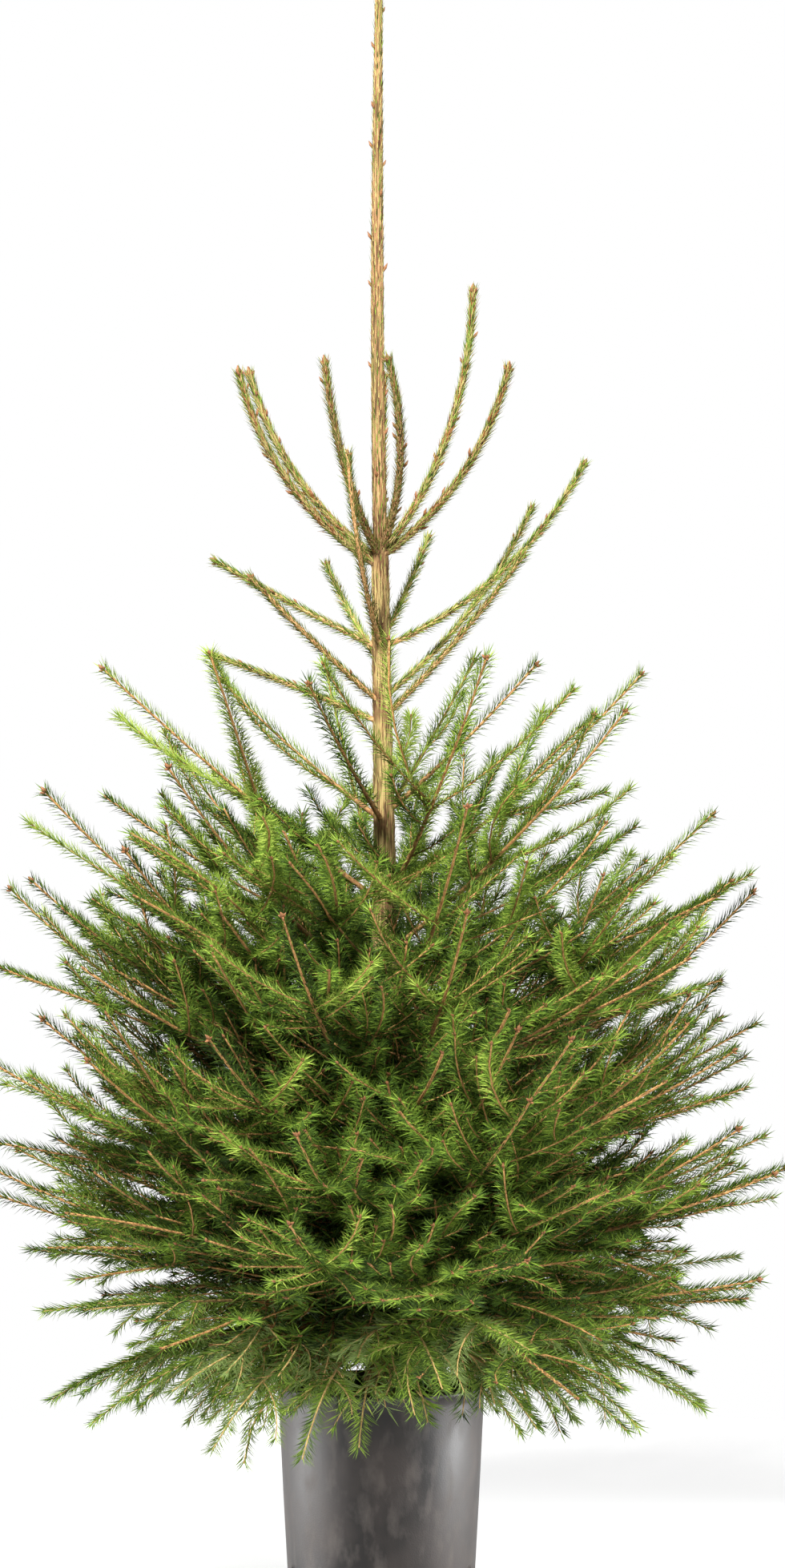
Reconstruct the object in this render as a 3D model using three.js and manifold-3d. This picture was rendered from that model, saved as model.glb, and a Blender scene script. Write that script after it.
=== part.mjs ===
// A young Norway spruce in a nursery pot, as sold for a living Christmas tree.
// Millimetres, +Z up. The origin is the centre of the pot's flat underside. +X is the viewer's
// right and +Y points away from the viewer. Azimuths turn from +X towards +Y, in degrees.
import * as THREE from "three";
import { mergeVertices } from "three/addons/utils/BufferGeometryUtils.js";
import Module from "manifold-3d";

const wasm = await Module();
wasm.setup();

// Driving dimensions
const GAP = 0.3; // kept between any two pieces that meet
const POT = {
  height: 270,
  footRadius: 115,
  lipRadius: 129,
  rimRadius: 134,
  rimHeight: 13,
  wall: 2.6,
  floor: 4,
  sides: 48,
  slots: 8,
  slotWidth: 12,
  slotLow: 12,
  slotHigh: 45,
};
const SOIL = { top: 250, crown: 5 };
const TRUNK = {
  foot: SOIL.top + SOIL.crown + GAP,
  tip: 2040,
  flare: 9, // extra radius at the foot
  flareFall: 30, // height over which the flare fades
  bow: 5, // sideways bow of the stem
  bowTop: 700, // height where the bow leans furthest to +X
  bowHalf: 1000, // height between the two sides of the bow
  sides: 10,
};
// Radius of the stem at a height: the stem steps in above each whorl, most of all at the leader.
const TRUNK_RADII = [
  [255, 18.5],
  [700, 15.5],
  [1000, 13],
  [1290, 10.5],
  [1320, 8.5],
  [1700, 7.6],
  [1880, 5.8],
  [2000, 4.4],
  [2025, 3.4],
];

// The young shoots that stand alone at the top, each one year's growth straight off the stem.
// rise is the angle above level at the stem and at the tip, and sway turns the bend sideways.
const TOP_SHOOTS = [
  { name: "crown_shoot", azimuth: -15, height: 1300, length: 290, rise: [33, 76] },
  { name: "crown_shoot", azimuth: 42, height: 1303, length: 385, rise: [42, 88] },
  { name: "crown_shoot", azimuth: 88, height: 1298, length: 260, rise: [50, 84] },
  { name: "crown_shoot", azimuth: 163, height: 1296, length: 298, rise: [34, 74] },
  { name: "crown_shoot", azimuth: 192, height: 1288, length: 305, rise: [30, 76] },
  { name: "crown_shoot", azimuth: 240, height: 1300, length: 272, rise: [42, 78] },
  { name: "crown_shoot", azimuth: 300, height: 1306, length: 265, rise: [48, 88], sway: 35 },
  { name: "upper_shoot", azimuth: 178, height: 1185, length: 235, rise: [26, 30] },
  { name: "upper_shoot", azimuth: 8, height: 1187, length: 352, rise: [22, 62] },
  { name: "upper_shoot", azimuth: 255, height: 1186, length: 285, rise: [38, 74] },
  { name: "upper_shoot", azimuth: 118, height: 1165, length: 200, rise: [36, 46] },
  { name: "upper_shoot", azimuth: 62, height: 1195, length: 185, rise: [42, 52] },
  { name: "upper_shoot", azimuth: 212, height: 1116, length: 245, rise: [36, 42] },
  { name: "upper_shoot", azimuth: 30, height: 1124, length: 330, rise: [34, 62] },
  { name: "upper_shoot", azimuth: -22, height: 1098, length: 275, rise: [42, 52] },
  { name: "upper_shoot", azimuth: 183, height: 1092, length: 230, rise: [24, 20] },
];

// The tiers of branched limbs below, from the top down. limb is the share of the length that is
// a bare bough in a node of its own; where it is 0 the foliage starts at the stem.
const TIERS = [
  { name: "tier_1", height: 966, count: 4, first: -25, length: 290, rise: [36, 44], limb: 0, nodes: 2 },
  { name: "tier_2", height: 862, count: 4, first: 15, length: 455, rise: [33, 46], limb: 0, nodes: 3 },
  { name: "tier_3", height: 692, count: 4, first: 20, length: 540, rise: [22, 44], limb: 0, nodes: 3 },
  { name: "tier_4", height: 585, count: 4, first: -10, length: 565, rise: [18, 44], limb: 0.28, nodes: 3 },
  { name: "tier_5", height: 478, count: 4, first: 24, length: 565, rise: [14, 36], limb: 0.28, nodes: 3 },
  { name: "tier_6", height: 400, count: 4, first: -16, length: 540, rise: [4, 24], limb: 0, nodes: 3 },
  { name: "tier_7", height: 355, count: 4, first: 12, length: 455, rise: [8, -6], limb: 0, nodes: 3 },
  { name: "tier_8", height: 322, count: 4, first: -28, length: 375, rise: [14, -46], limb: 0, nodes: 2 },
];
const JITTER = { azimuth: 9, height: 12, length: 0.06, rise: 4 }; // largest seeded change, each way

// How side twigs leave a stem, and how needles stand on a twig.
const TWIG = {
  angle: 47, // between twig and stem, at the twig's root
  lift: 0.36, // tilt of the pair of twigs out of the stem's own fan, for each degree of its tip's rise
  turn: 20, // how far a twig bends over its length, forward and the way the stem's tip rises
  share: 0.72, // twig length for each length of stem beyond it
  least: 55, // shorter twigs than this aren't made
  trims: [1, 0.72], // lengths that are tried before a twig is skipped
};
const NEEDLES = {
  crown_shoot: { pitch: 30, reach: 7, lean: 18 },
  upper_shoot: { pitch: 27, reach: 13, lean: 16 },
  spray: { pitch: 40, reach: 21, lean: 18 },
};
const BARK_CLEAR = 26; // bare length of a root beside the stem
const LIMB = { sides: 6, rings: 5, root: 8.2, tip: 5.2 };
const STEM = { root: 5.2, tip: 2.2 };
const SHOOT = { root: 4.6, tip: 2.4 };
const SPRIG = { root: 3, tip: 1.6 };
const SAMPLE = 14; // spacing of the points that test whether a twig has room

const COLOURS = {
  pot: 0x57565a,
  soil: 0x2e211a,
  bark: 0x8a6f4a,
  limb: 0x6f5138,
  shoot: 0x86884c,
  needles: 0x3f6528,
};

const UP = new THREE.Vector3(0, 0, 1);
const radians = THREE.MathUtils.degToRad;

// A seeded stream of numbers from 0 to 1: each is the last one times 16807, modulo 2^31 - 1.
class Draws {
  constructor(seed) {
    this.state = seed;
    this.next();
  }
  next() {
    this.state = (this.state * 16807) % 2147483647;
    return this.state / 2147483647;
  }
  each(size) {
    return size * (2 * this.next() - 1);
  }
}

// A limb's centre line: a circular arc that leaves start along one direction and bends towards
// another at right angles to it, turning by a given angle over its length.
class LimbArc extends THREE.Curve {
  constructor(start, along, toward, length, turn) {
    super();
    this.start = start;
    this.along = along.clone().normalize();
    this.toward = toward.clone().addScaledVector(this.along, -toward.dot(this.along)).normalize();
    this.across = new THREE.Vector3().crossVectors(this.along, this.toward);
    this.length = length;
    this.turn = Math.max(turn, 1e-4);
  }
  getPoint(share, target = new THREE.Vector3()) {
    const angle = share * this.turn;
    const radius = this.length / this.turn;
    return target
      .copy(this.start)
      .addScaledVector(this.along, radius * Math.sin(angle))
      .addScaledVector(this.toward, radius * (1 - Math.cos(angle)));
  }
  getTangent(share, target = new THREE.Vector3()) {
    const angle = share * this.turn;
    return target
      .copy(this.along)
      .multiplyScalar(Math.cos(angle))
      .addScaledVector(this.toward, Math.sin(angle));
  }
  point(distance) {
    return this.getPoint(distance / this.length);
  }
  tangent(distance) {
    return this.getTangent(distance / this.length);
  }
  // The two directions of a cross-section, so that the first crossed with the second is the tangent.
  section(distance) {
    return [new THREE.Vector3().crossVectors(this.across, this.tangent(distance)), this.across];
  }
}

// The centre of the stem at a height: it bows gently from side to side.
function trunkCentre(height) {
  const bow = TRUNK.bow * Math.cos((Math.PI * (height - TRUNK.bowTop)) / TRUNK.bowHalf);
  return new THREE.Vector3(bow, 0, height);
}

function trunkRadius(height) {
  let radius = TRUNK_RADII[0][1];
  for (let i = 1; i < TRUNK_RADII.length; i++) {
    const [low, lowRadius] = TRUNK_RADII[i - 1];
    const [high, highRadius] = TRUNK_RADII[i];
    const share = THREE.MathUtils.clamp((height - low) / (high - low), 0, 1);
    if (height >= low) radius = THREE.MathUtils.lerp(lowRadius, highRadius, share);
  }
  return radius + TRUNK.flare * Math.exp((TRUNK.foot - height) / TRUNK.flareFall);
}

// The arc of a limb that leaves the stem's centre line.
function limbArc({ azimuth, height, length, rise, sway = 0 }) {
  const [low, high] = rise.map(radians);
  const outward = new THREE.Vector3(Math.cos(radians(azimuth)), Math.sin(radians(azimuth)), 0);
  const along = outward.multiplyScalar(Math.cos(low)).addScaledVector(UP, Math.sin(low));
  const turn = high - low;
  const upright = UP.clone().addScaledVector(along, -UP.dot(along)).normalize();
  const sideways = new THREE.Vector3().crossVectors(along, upright);
  const toward = upright
    .multiplyScalar(Math.sign(turn) || 1)
    .multiplyScalar(Math.cos(radians(sway)))
    .addScaledVector(sideways, Math.sin(radians(sway)));
  return new LimbArc(trunkCentre(height), along, toward, length, Math.abs(turn));
}

// The arc of the twig that leaves a stem at a distance along it, on side +1 or -1. rise is the
// angle above level at the stem's tip.
function twigArc(stem, rise, distance, side, length, draws) {
  const tangent = stem.tangent(distance);
  const sideways = new THREE.Vector3().crossVectors(tangent, UP).normalize();
  const upright = new THREE.Vector3().crossVectors(sideways, tangent);
  const angle = radians(TWIG.angle + draws.each(6));
  const lift = radians(TWIG.lift * rise + draws.each(16));
  const outward = sideways
    .multiplyScalar(side * Math.cos(lift))
    .addScaledVector(upright, Math.sin(lift));
  const along = tangent.clone().multiplyScalar(Math.cos(angle)).addScaledVector(outward, Math.sin(angle));
  const toward = tangent.clone().addScaledVector(UP, 2 * Math.sin(radians(rise)));
  return new LimbArc(stem.point(distance), along, toward, length, radians(TWIG.turn));
}

function geometryOf(points, triangles) {
  const geometry = new THREE.BufferGeometry().setFromPoints(points);
  geometry.setIndex(triangles.flat());
  return geometry;
}

// A tapering tube through rings of corners, closed by a fan at each end.
function ringTube(rings) {
  const sides = rings[0].length;
  const last = (rings.length - 1) * sides;
  const triangles = [];
  for (let i = 0; i + 1 < rings.length; i++) {
    for (let k = 0; k < sides; k++) {
      const next = (k + 1) % sides;
      const [a, b] = [i * sides + k, i * sides + next];
      triangles.push([a, b, b + sides], [a, b + sides, a + sides]);
    }
  }
  for (let k = 1; k + 1 < sides; k++) {
    triangles.push([0, k + 1, k], [last, last + k, last + k + 1]);
  }
  return geometryOf(rings.flat(), triangles);
}

function ringOf(centre, [first, second], radius, sides, roll = 0) {
  return Array.from({ length: sides }, (_, k) => {
    const angle = roll + (2 * Math.PI * k) / sides;
    return centre
      .clone()
      .addScaledVector(first, radius * Math.cos(angle))
      .addScaledVector(second, radius * Math.sin(angle));
  });
}

// The stem from its flat cut on the soil to the leader's tip, with every radius grown by extra.
function trunkGeometry(extra = 0) {
  const flareHeights = [0, 0.35, 0.9, 2].map((share) => TRUNK.foot + share * TRUNK.flareFall);
  const heights = [
    ...flareHeights,
    ...[420, 560, 700, 850, 1000, 1150, 1290, 1320, 1450, 1580, 1700, 1800, 1880, 1950, 2000, 2025],
  ];
  const level = [new THREE.Vector3(1, 0, 0), new THREE.Vector3(0, 1, 0)];
  const rings = heights.map((height) =>
    ringOf(trunkCentre(height), level, trunkRadius(height) + extra, TRUNK.sides),
  );
  const tipCentre = trunkCentre(TRUNK.tip);
  rings.push(ringOf(tipCentre, level, 1 + extra, TRUNK.sides));
  return ringTube(rings);
}

// A bare bough: a tapering tube along its arc.
function limbGeometry(arc, to) {
  const rings = Array.from({ length: LIMB.rings + 1 }, (_, i) => {
    const distance = (to * i) / LIMB.rings;
    const radius = THREE.MathUtils.lerp(LIMB.root, LIMB.tip, i / LIMB.rings);
    return ringOf(arc.point(distance), arc.section(distance), radius, LIMB.sides);
  });
  return ringTube(rings);
}

// A three-sided twig whose facets rise to points: three rows of needles that lean to the tip.
// It runs along the arc between two distances, and its first stretch stays bare.
function needledTwig(arc, from, to, radii, needles, bare, roll) {
  const count = Math.max(2, Math.round((to - from) / needles.pitch));
  const sides = 3;
  const points = [];
  const triangles = [];
  const at = (i) => from + ((to - from) * i) / count;
  for (let i = 0; i <= count; i++) {
    const radius = THREE.MathUtils.lerp(radii.root, radii.tip, i / count);
    points.push(...ringOf(arc.point(at(i)), arc.section(at(i)), radius, sides, roll));
  }
  for (let i = 0; i < count; i++) {
    const middle = (at(i) + at(i + 1)) / 2;
    const [first, second] = arc.section(middle);
    for (let k = 0; k < sides; k++) {
      const next = (k + 1) % sides;
      const [a, b] = [i * sides + k, i * sides + next];
      const [c, d] = [b + sides, a + sides];
      if (at(i) - from < bare) {
        triangles.push([a, b, c], [a, c, d]);
        continue;
      }
      const angle = roll + (2 * Math.PI * (k + 0.5)) / sides;
      const tip = arc
        .point(middle)
        .addScaledVector(arc.tangent(middle), needles.lean)
        .addScaledVector(first, needles.reach * Math.cos(angle))
        .addScaledVector(second, needles.reach * Math.sin(angle));
      const p = points.push(tip) - 1;
      triangles.push([a, b, p], [b, c, p], [c, d, p], [d, a, p]);
    }
  }
  const bud = points.push(arc.point(to).addScaledVector(arc.tangent(to), 2 * radii.root)) - 1;
  const last = count * sides;
  triangles.push([0, 2, 1], [last, last + 1, bud], [last + 1, last + 2, bud], [last + 2, last, bud]);
  return geometryOf(points, triangles);
}

// Solids and booleans
function solidOf(geometry) {
  const bare = geometry.clone();
  bare.deleteAttribute("normal");
  bare.deleteAttribute("uv");
  const merged = mergeVertices(bare, 1e-4);
  const index = merged.index.array;
  const triangles = [];
  for (let i = 0; i < index.length; i += 3) {
    const [a, b, c] = index.slice(i, i + 3);
    if (a !== b && b !== c && c !== a) triangles.push(a, b, c);
  }
  return new wasm.Manifold(
    new wasm.Mesh({
      numProp: 3,
      vertProperties: merged.attributes.position.array,
      triVerts: new Uint32Array(triangles),
    }),
  );
}

// The largest closed body of a solid: loose scraps are dropped and sealed hollows are filled.
function wholeBody(solid) {
  const bodies = solid.decompose();
  return bodies.reduce((best, body) => (body.volume() > best.volume() ? body : best));
}

function geometryOfSolid(solid) {
  const { vertProperties, triVerts } = solid.getMesh();
  const geometry = new THREE.BufferGeometry();
  geometry.setAttribute("position", new THREE.BufferAttribute(vertProperties, 3));
  geometry.setIndex(new THREE.BufferAttribute(triVerts, 1));
  geometry.computeVertexNormals();
  return geometry;
}

const tree = new THREE.Group();
const FINISHES = {
  pot: { color: COLOURS.pot, roughness: 0.45, metalness: 0 },
  soil: { color: COLOURS.soil, roughness: 0.95, metalness: 0 },
  bark: { color: COLOURS.bark, roughness: 0.85, metalness: 0 },
  limb: { color: COLOURS.limb, roughness: 0.85, metalness: 0 },
  shoot: { color: COLOURS.shoot, roughness: 0.7, metalness: 0 },
  needles: { color: COLOURS.needles, roughness: 0.6, metalness: 0 },
};

function addPiece(name, solid, finish) {
  const material = new THREE.MeshStandardMaterial(FINISHES[finish]);
  const mesh = new THREE.Mesh(geometryOfSolid(solid), material);
  mesh.name = name;
  tree.add(mesh);
}

// Room: every piece claims the space round its centre line, and a twig is made only where no
// other piece has claimed it.
const claims = [];

function claim(owner, points, reach) {
  for (let i = 0; i + 1 < points.length; i++) {
    claims.push({ owner, line: new THREE.Line3(points[i], points[i + 1]), reach });
  }
}

function along(arc, from, to) {
  const count = Math.max(1, Math.ceil((to - from) / SAMPLE));
  return Array.from({ length: count + 1 }, (_, i) => arc.point(from + ((to - from) * i) / count));
}

function hasRoom(owner, points, reach) {
  const nearest = new THREE.Vector3();
  return !claims.some(
    (other) =>
      other.owner !== owner &&
      points.some((point) => {
        other.line.closestPointToPoint(point, true, nearest);
        return nearest.distanceTo(point) < reach + other.reach + GAP;
      }),
  );
}

// Pot and soil, both turned from a profile of radius and height
function turned(profile) {
  const points = profile.map(([radius, height]) => new THREE.Vector2(radius, height));
  return new THREE.LatheGeometry(points, POT.sides).rotateX(Math.PI / 2);
}

const potRadius = (height) =>
  THREE.MathUtils.lerp(POT.footRadius, POT.lipRadius, height / POT.height);

function potSolid() {
  const rimLow = POT.height - POT.rimHeight;
  const profile = [
    [0, 0],
    [POT.footRadius - 3, 0],
    [potRadius(3), 3],
    [potRadius(rimLow), rimLow],
    [POT.rimRadius, rimLow + 3],
    [POT.rimRadius, POT.height - 3],
    [POT.rimRadius - 2, POT.height],
    [POT.lipRadius - POT.wall, POT.height],
    [potRadius(POT.floor) - POT.wall, POT.floor],
    [0, POT.floor],
  ];
  let pot = solidOf(turned(profile));
  const slotHeight = POT.slotHigh - POT.slotLow;
  for (let i = 0; i < POT.slots; i++) {
    const slot = new THREE.BoxGeometry(6 * POT.wall, POT.slotWidth, slotHeight)
      .translate(potRadius(POT.slotLow), 0, POT.slotLow + slotHeight / 2)
      .rotateZ((2 * Math.PI * (i + 0.5)) / POT.slots);
    pot = pot.subtract(solidOf(slot));
  }
  return pot;
}

function soilSolid() {
  const inner = (height) => potRadius(height) - POT.wall - 2 * GAP;
  return solidOf(
    turned([
      [0, POT.floor + GAP],
      [inner(POT.floor), POT.floor + GAP],
      [inner(SOIL.top), SOIL.top],
      [TRUNK.flare + trunkRadius(TRUNK.foot), SOIL.top + SOIL.crown],
      [0, SOIL.top + SOIL.crown],
    ]),
  );
}

// Every limb of the plant, with its seeded changes worked in
function lowerLimbs() {
  return TIERS.flatMap((tier, tierIndex) =>
    Array.from({ length: tier.count }, (_, i) => {
      const draws = new Draws(7001 + 131 * tierIndex + 17 * i);
      return {
        name: `${tier.name}_${String.fromCharCode(97 + i)}`,
        azimuth: tier.first + (360 * i) / tier.count + draws.each(JITTER.azimuth),
        height: tier.height + draws.each(JITTER.height),
        length: tier.length * (1 + draws.each(JITTER.length)),
        rise: tier.rise.map((angle) => angle + draws.each(JITTER.rise)),
        limb: tier.limb,
        nodes: tier.nodes,
        draws,
      };
    }),
  );
}

const shoots = TOP_SHOOTS.map((row, i) => ({ ...row, name: `${row.name}_${i + 1}`, kind: row.name }));
const limbs = lowerLimbs();
const fatTrunk = solidOf(trunkGeometry(GAP));

addPiece("pot", potSolid(), "pot");
addPiece("soil", soilSolid(), "soil");
addPiece("trunk", solidOf(trunkGeometry()), "bark");

// Claims of the pot's rim, the stem and every limb's own line come before any twig grows.
const rimLevel = [new THREE.Vector3(1, 0, 0), new THREE.Vector3(0, 1, 0)];
for (const height of [POT.height * 0.6, POT.height * 0.8, POT.height]) {
  const ring = ringOf(new THREE.Vector3(0, 0, height), rimLevel, POT.lipRadius, POT.sides);
  claim("pot", [...ring, ring[0]], POT.rimRadius - POT.lipRadius + 2);
}
const stemHeights = Array.from({ length: 41 }, (_, i) =>
  THREE.MathUtils.lerp(TRUNK.foot, TRUNK.tip, i / 40),
);
stemHeights.slice(1).forEach((height, i) => {
  const reach = trunkRadius(stemHeights[i] + TRUNK.flareFall);
  claim("trunk", [trunkCentre(stemHeights[i]), trunkCentre(height)], reach);
});

for (const shoot of shoots) {
  shoot.arc = limbArc(shoot);
  claim(shoot.name, along(shoot.arc, 0, shoot.length), NEEDLES[shoot.kind].reach);
}
for (const limb of limbs) {
  limb.arc = limbArc(limb);
  const split = limb.limb * limb.length;
  claim(limb.name, along(limb.arc, 0, split), LIMB.root);
  claim(limb.name, along(limb.arc, split, limb.length), NEEDLES.spray.reach);
}

// Young shoots at the top
for (const shoot of shoots) {
  const bare = trunkRadius(shoot.height) + BARK_CLEAR;
  const twig = needledTwig(shoot.arc, 0, shoot.length, SHOOT, NEEDLES[shoot.kind], bare, Math.PI / 2);
  addPiece(shoot.name, wholeBody(solidOf(twig).subtract(fatTrunk)), "shoot");
}

// Boughs and their foliage
for (const limb of limbs) {
  const { arc, length, draws } = limb;
  const split = limb.limb * length;
  if (split > 0) {
    addPiece(`bough_${limb.name}`, wholeBody(solidOf(limbGeometry(arc, split)).subtract(fatTrunk)), "limb");
  }
  const from = split > 0 ? split + GAP : 0;
  const bare = split > 0 ? 1 : trunkRadius(limb.height) + BARK_CLEAR;
  let mass = solidOf(needledTwig(arc, from, length, STEM, NEEDLES.spray, bare, Math.PI / 2));
  for (let node = 1; node <= limb.nodes; node++) {
    const share = THREE.MathUtils.lerp(Math.max(limb.limb, 0.2), 1, (node - 0.5) / limb.nodes);
    for (const side of [1, -1]) {
      const distance = length * (share + draws.each(0.03));
      const full = TWIG.share * (length - distance) * (1 + draws.each(0.15));
      const twig = twigArc(arc, limb.rise[1], distance, side, full, draws);
      const fits = TWIG.trims
        .map((trim) => trim * full)
        .find(
          (size) =>
            size > TWIG.least && hasRoom(limb.name, along(twig, 0, size), NEEDLES.spray.reach),
        );
      if (!fits) continue;
      mass = mass.add(
        solidOf(needledTwig(twig, 0, fits, SPRIG, NEEDLES.spray, BARK_CLEAR, Math.PI / 2)),
      );
      claim(limb.name, along(twig, 0, fits), NEEDLES.spray.reach);
    }
  }
  addPiece(`foliage_${limb.name}`, wholeBody(split > 0 ? mass : mass.subtract(fatTrunk)), "needles");
}

export default tree;
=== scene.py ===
# %% [markdown]
# # A young spruce in a nursery pot
# This is a living Christmas tree with no decorations: a straight stem with a long bare leader, a
# candelabra of young shoots below it, a dense crown of needled twigs and a dark grey plastic pot.
# The packed model gives the plain solids. This lesson grows the real surface over them, in metres,
# in the same frame: the origin is under the middle of the pot, +X is the viewer's right, +Y is away.

# %% Load the frame
import bpy
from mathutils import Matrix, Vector
import numpy as np


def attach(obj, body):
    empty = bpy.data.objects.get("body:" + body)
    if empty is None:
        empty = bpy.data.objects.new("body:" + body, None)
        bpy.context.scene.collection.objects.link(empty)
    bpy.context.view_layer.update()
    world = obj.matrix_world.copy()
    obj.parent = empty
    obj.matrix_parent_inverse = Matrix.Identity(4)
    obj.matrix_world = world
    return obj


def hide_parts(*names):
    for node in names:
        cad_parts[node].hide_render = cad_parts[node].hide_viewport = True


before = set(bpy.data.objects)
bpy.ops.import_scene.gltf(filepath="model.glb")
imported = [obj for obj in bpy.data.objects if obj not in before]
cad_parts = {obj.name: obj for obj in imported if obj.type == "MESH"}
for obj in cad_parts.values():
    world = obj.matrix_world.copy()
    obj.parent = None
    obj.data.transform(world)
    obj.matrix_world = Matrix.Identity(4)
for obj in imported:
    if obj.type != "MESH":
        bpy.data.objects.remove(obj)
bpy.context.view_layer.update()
NODES = sorted(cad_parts)
SEED = 277
rng = np.random.default_rng(SEED)
print("solids in the frame:", len(NODES))

# %% [markdown]
# ## From arrays to meshes
# A spruce has hundreds of thousands of needles, so no piece can be modelled by hand or made of
# single objects. Every piece here is one mesh whose corners are worked out as whole numpy arrays.
# One helper puts an array of corners and blocks of faces into Blender and tells the frame what the
# piece is: it rides on the only body, takes a finish and replaces plain solids.

# %% Make a piece from arrays
BODY = "root"


def make_piece(name, corners, face_blocks, material, replaces, smooth=False, years=None):
    """One mesh from (n, 3) corners and blocks of (m, k) corner numbers. A finish can read the years."""
    mesh = bpy.data.meshes.new(name)
    corners = np.asarray(corners, np.float32).reshape(-1, 3)
    loops = np.concatenate([np.asarray(block).ravel() for block in face_blocks])
    sizes = np.concatenate([np.full(len(block), block.shape[1]) for block in face_blocks])
    mesh.vertices.add(len(corners))
    mesh.vertices.foreach_set("co", corners.ravel())
    mesh.loops.add(len(loops))
    mesh.loops.foreach_set("vertex_index", loops.astype(np.int32))
    mesh.polygons.add(len(sizes))
    mesh.polygons.foreach_set("loop_start", (np.cumsum(sizes) - sizes).astype(np.int32))
    mesh.polygons.foreach_set("use_smooth", np.full(len(sizes), smooth))
    mesh.update(calc_edges=True)
    if years is not None:
        mesh.attributes.new("years", "FLOAT", "POINT").data.foreach_set("value", years.astype(np.float32))
    mesh.materials.append(material)
    piece = bpy.data.objects.new(name, mesh)
    bpy.context.scene.collection.objects.link(piece)
    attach(piece, BODY)
    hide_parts(*replaces)
    print(f"{name}: {int((sizes - 2).sum())} triangles")


print("pieces ride on the body", BODY)

# %% [markdown]
# ## Grids and turns
# Most surfaces here are grids, with rows along an axis and columns round it. Blender's primitives
# could be bent into shape, but a grid that is worked out needs no bending. A few small helpers
# number its faces and turn angles into directions.

# %% Grids and turns
def grid_faces(rows, columns):
    """Quads of a grid that closes round its columns, with rows along +Z and columns that turn left."""
    row, column = np.meshgrid(np.arange(rows - 1), np.arange(columns), indexing="ij")
    a = (row * columns + column).ravel()
    b = (row * columns + (column + 1) % columns).ravel()
    return np.stack([a, b, b + columns, a + columns], axis=1)


def closed_grid(rows, columns):
    """The same with a flat face across the first row and one across the last."""
    ring = np.arange(columns)[None]
    return [grid_faces(rows, columns), ring[:, ::-1], ring + (rows - 1) * columns]


def unit(vectors):
    """Each vector over its own length."""
    return vectors / np.linalg.norm(vectors, axis=-1, keepdims=True)


def around(turn, radius=1.0, height=0.0):
    """Points round the upright axis: (radius * cos turn, radius * sin turn, height)."""
    return np.stack(np.broadcast_arrays(radius * np.cos(turn), radius * np.sin(turn), height), axis=-1)


def swing(angle, first, second):
    """cos(angle) * first + sin(angle) * second, an angle for each row."""
    angle = np.asarray(angle)[..., None]
    return np.cos(angle) * first + np.sin(angle) * second


def full_turn(count):
    """Even steps round the axis."""
    return np.linspace(0, 2 * np.pi, count, endpoint=False)


print("faces of a grid of 3 rows and 4 columns:", len(grid_faces(3, 4)))

# %% [markdown]
# ## Shader sums
# A finish is easier to read as a sum than as a wall of nodes. This class wraps one output socket,
# and adding or multiplying two of them makes the Math node. Every other node comes from one method.

# %% Write node trees as expressions
def fill(node, sockets):
    """Links a Shade to each named or numbered socket, or sets a plain value there."""
    for name, value in sockets.items():
        if isinstance(value, Shade):
            value.tree.links.new(value.socket, node.inputs[name])
        else:
            node.inputs[name].default_value = value


class Shade:
    """One output of a node tree, used like a number."""

    def __init__(self, tree, socket=None):
        self.tree = tree
        self.socket = socket

    def node(self, kind, sockets=None, output=0, **settings):
        """A new node with its settings, and a value or a link for each socket."""
        node = self.tree.nodes.new("ShaderNode" + kind)
        for name, value in settings.items():
            setattr(node, name, value)
        fill(node, sockets or {})
        return Shade(self.tree, node.outputs[output] if node.outputs else None)

    def math(self, operation, *values):
        """A Math node on values or links."""
        return self.node("Math", dict(enumerate(values)), operation=operation)

    def mix(self, factor, low, high):
        """Colour low where factor is 0 and high where it is 1."""
        return self.node("Mix", {0: factor, 6: low, 7: high}, 2, data_type="RGBA")

    def __add__(self, other):
        return self.math("ADD", self, other)

    def __sub__(self, other):
        return self.math("SUBTRACT", self, other)

    def __rsub__(self, other):
        return self.math("SUBTRACT", other, self)

    def __mul__(self, other):
        return self.math("MULTIPLY", self, other)

    __radd__ = __add__
    __rmul__ = __mul__


print("a Shade has these methods:", [name for name in vars(Shade) if "__" not in name])

# %% [markdown]
# ## Steps that finishes share
# Finishes share a few steps: a colour as seen on screen, a value brought to a range, noise drawn out
# along an axis, a bump and a ramp of colours. Node groups could hold them, but plain functions are
# easier to read, and a single value stays on the shader's own socket.

# %% Helpers for finishes
def paint(red, green, blue):
    """A colour as seen on screen, 0 to 255, as the linear colour that a shader takes."""
    seen = np.array([red, green, blue]) / 255
    linear = np.where(seen <= 0.04045, seen / 12.92, ((seen + 0.055) / 1.055) ** 2.4)
    return (*map(float, linear), 1.0)


def finish(name, roughness, gloss, recipe, *colours):
    """A material. Its recipe gets a Shade to add nodes with, and gives what the shader's sockets take."""
    material = bpy.data.materials.new(name)
    material.use_nodes = True
    shader = material.node_tree.nodes["Principled BSDF"]
    fill(shader, {"Roughness": roughness, "Specular IOR Level": gloss})
    fill(shader, recipe(Shade(material.node_tree), *colours))
    return material


def between(shade, value, low, high, floor=0.0, top=1.0):
    """A value brought from low..high to floor..top, and held at both ends."""
    sockets = {"Value": value, "From Min": low, "From Max": high, "To Min": floor, "To Max": top}
    return shade.node("MapRange", sockets)


def stretched(shade, scale, stretch=(1, 1, 1), detail=4.0):
    """Noise from 0 to 1 on the object's own coordinates, drawn out along an axis by a small stretch."""
    place = shade.node("TexCoord", output=3)
    place = shade.node("Mapping", {"Vector": place, "Scale": stretch})
    return shade.node("TexNoise", {"Vector": place, "Scale": scale, "Detail": detail})


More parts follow.
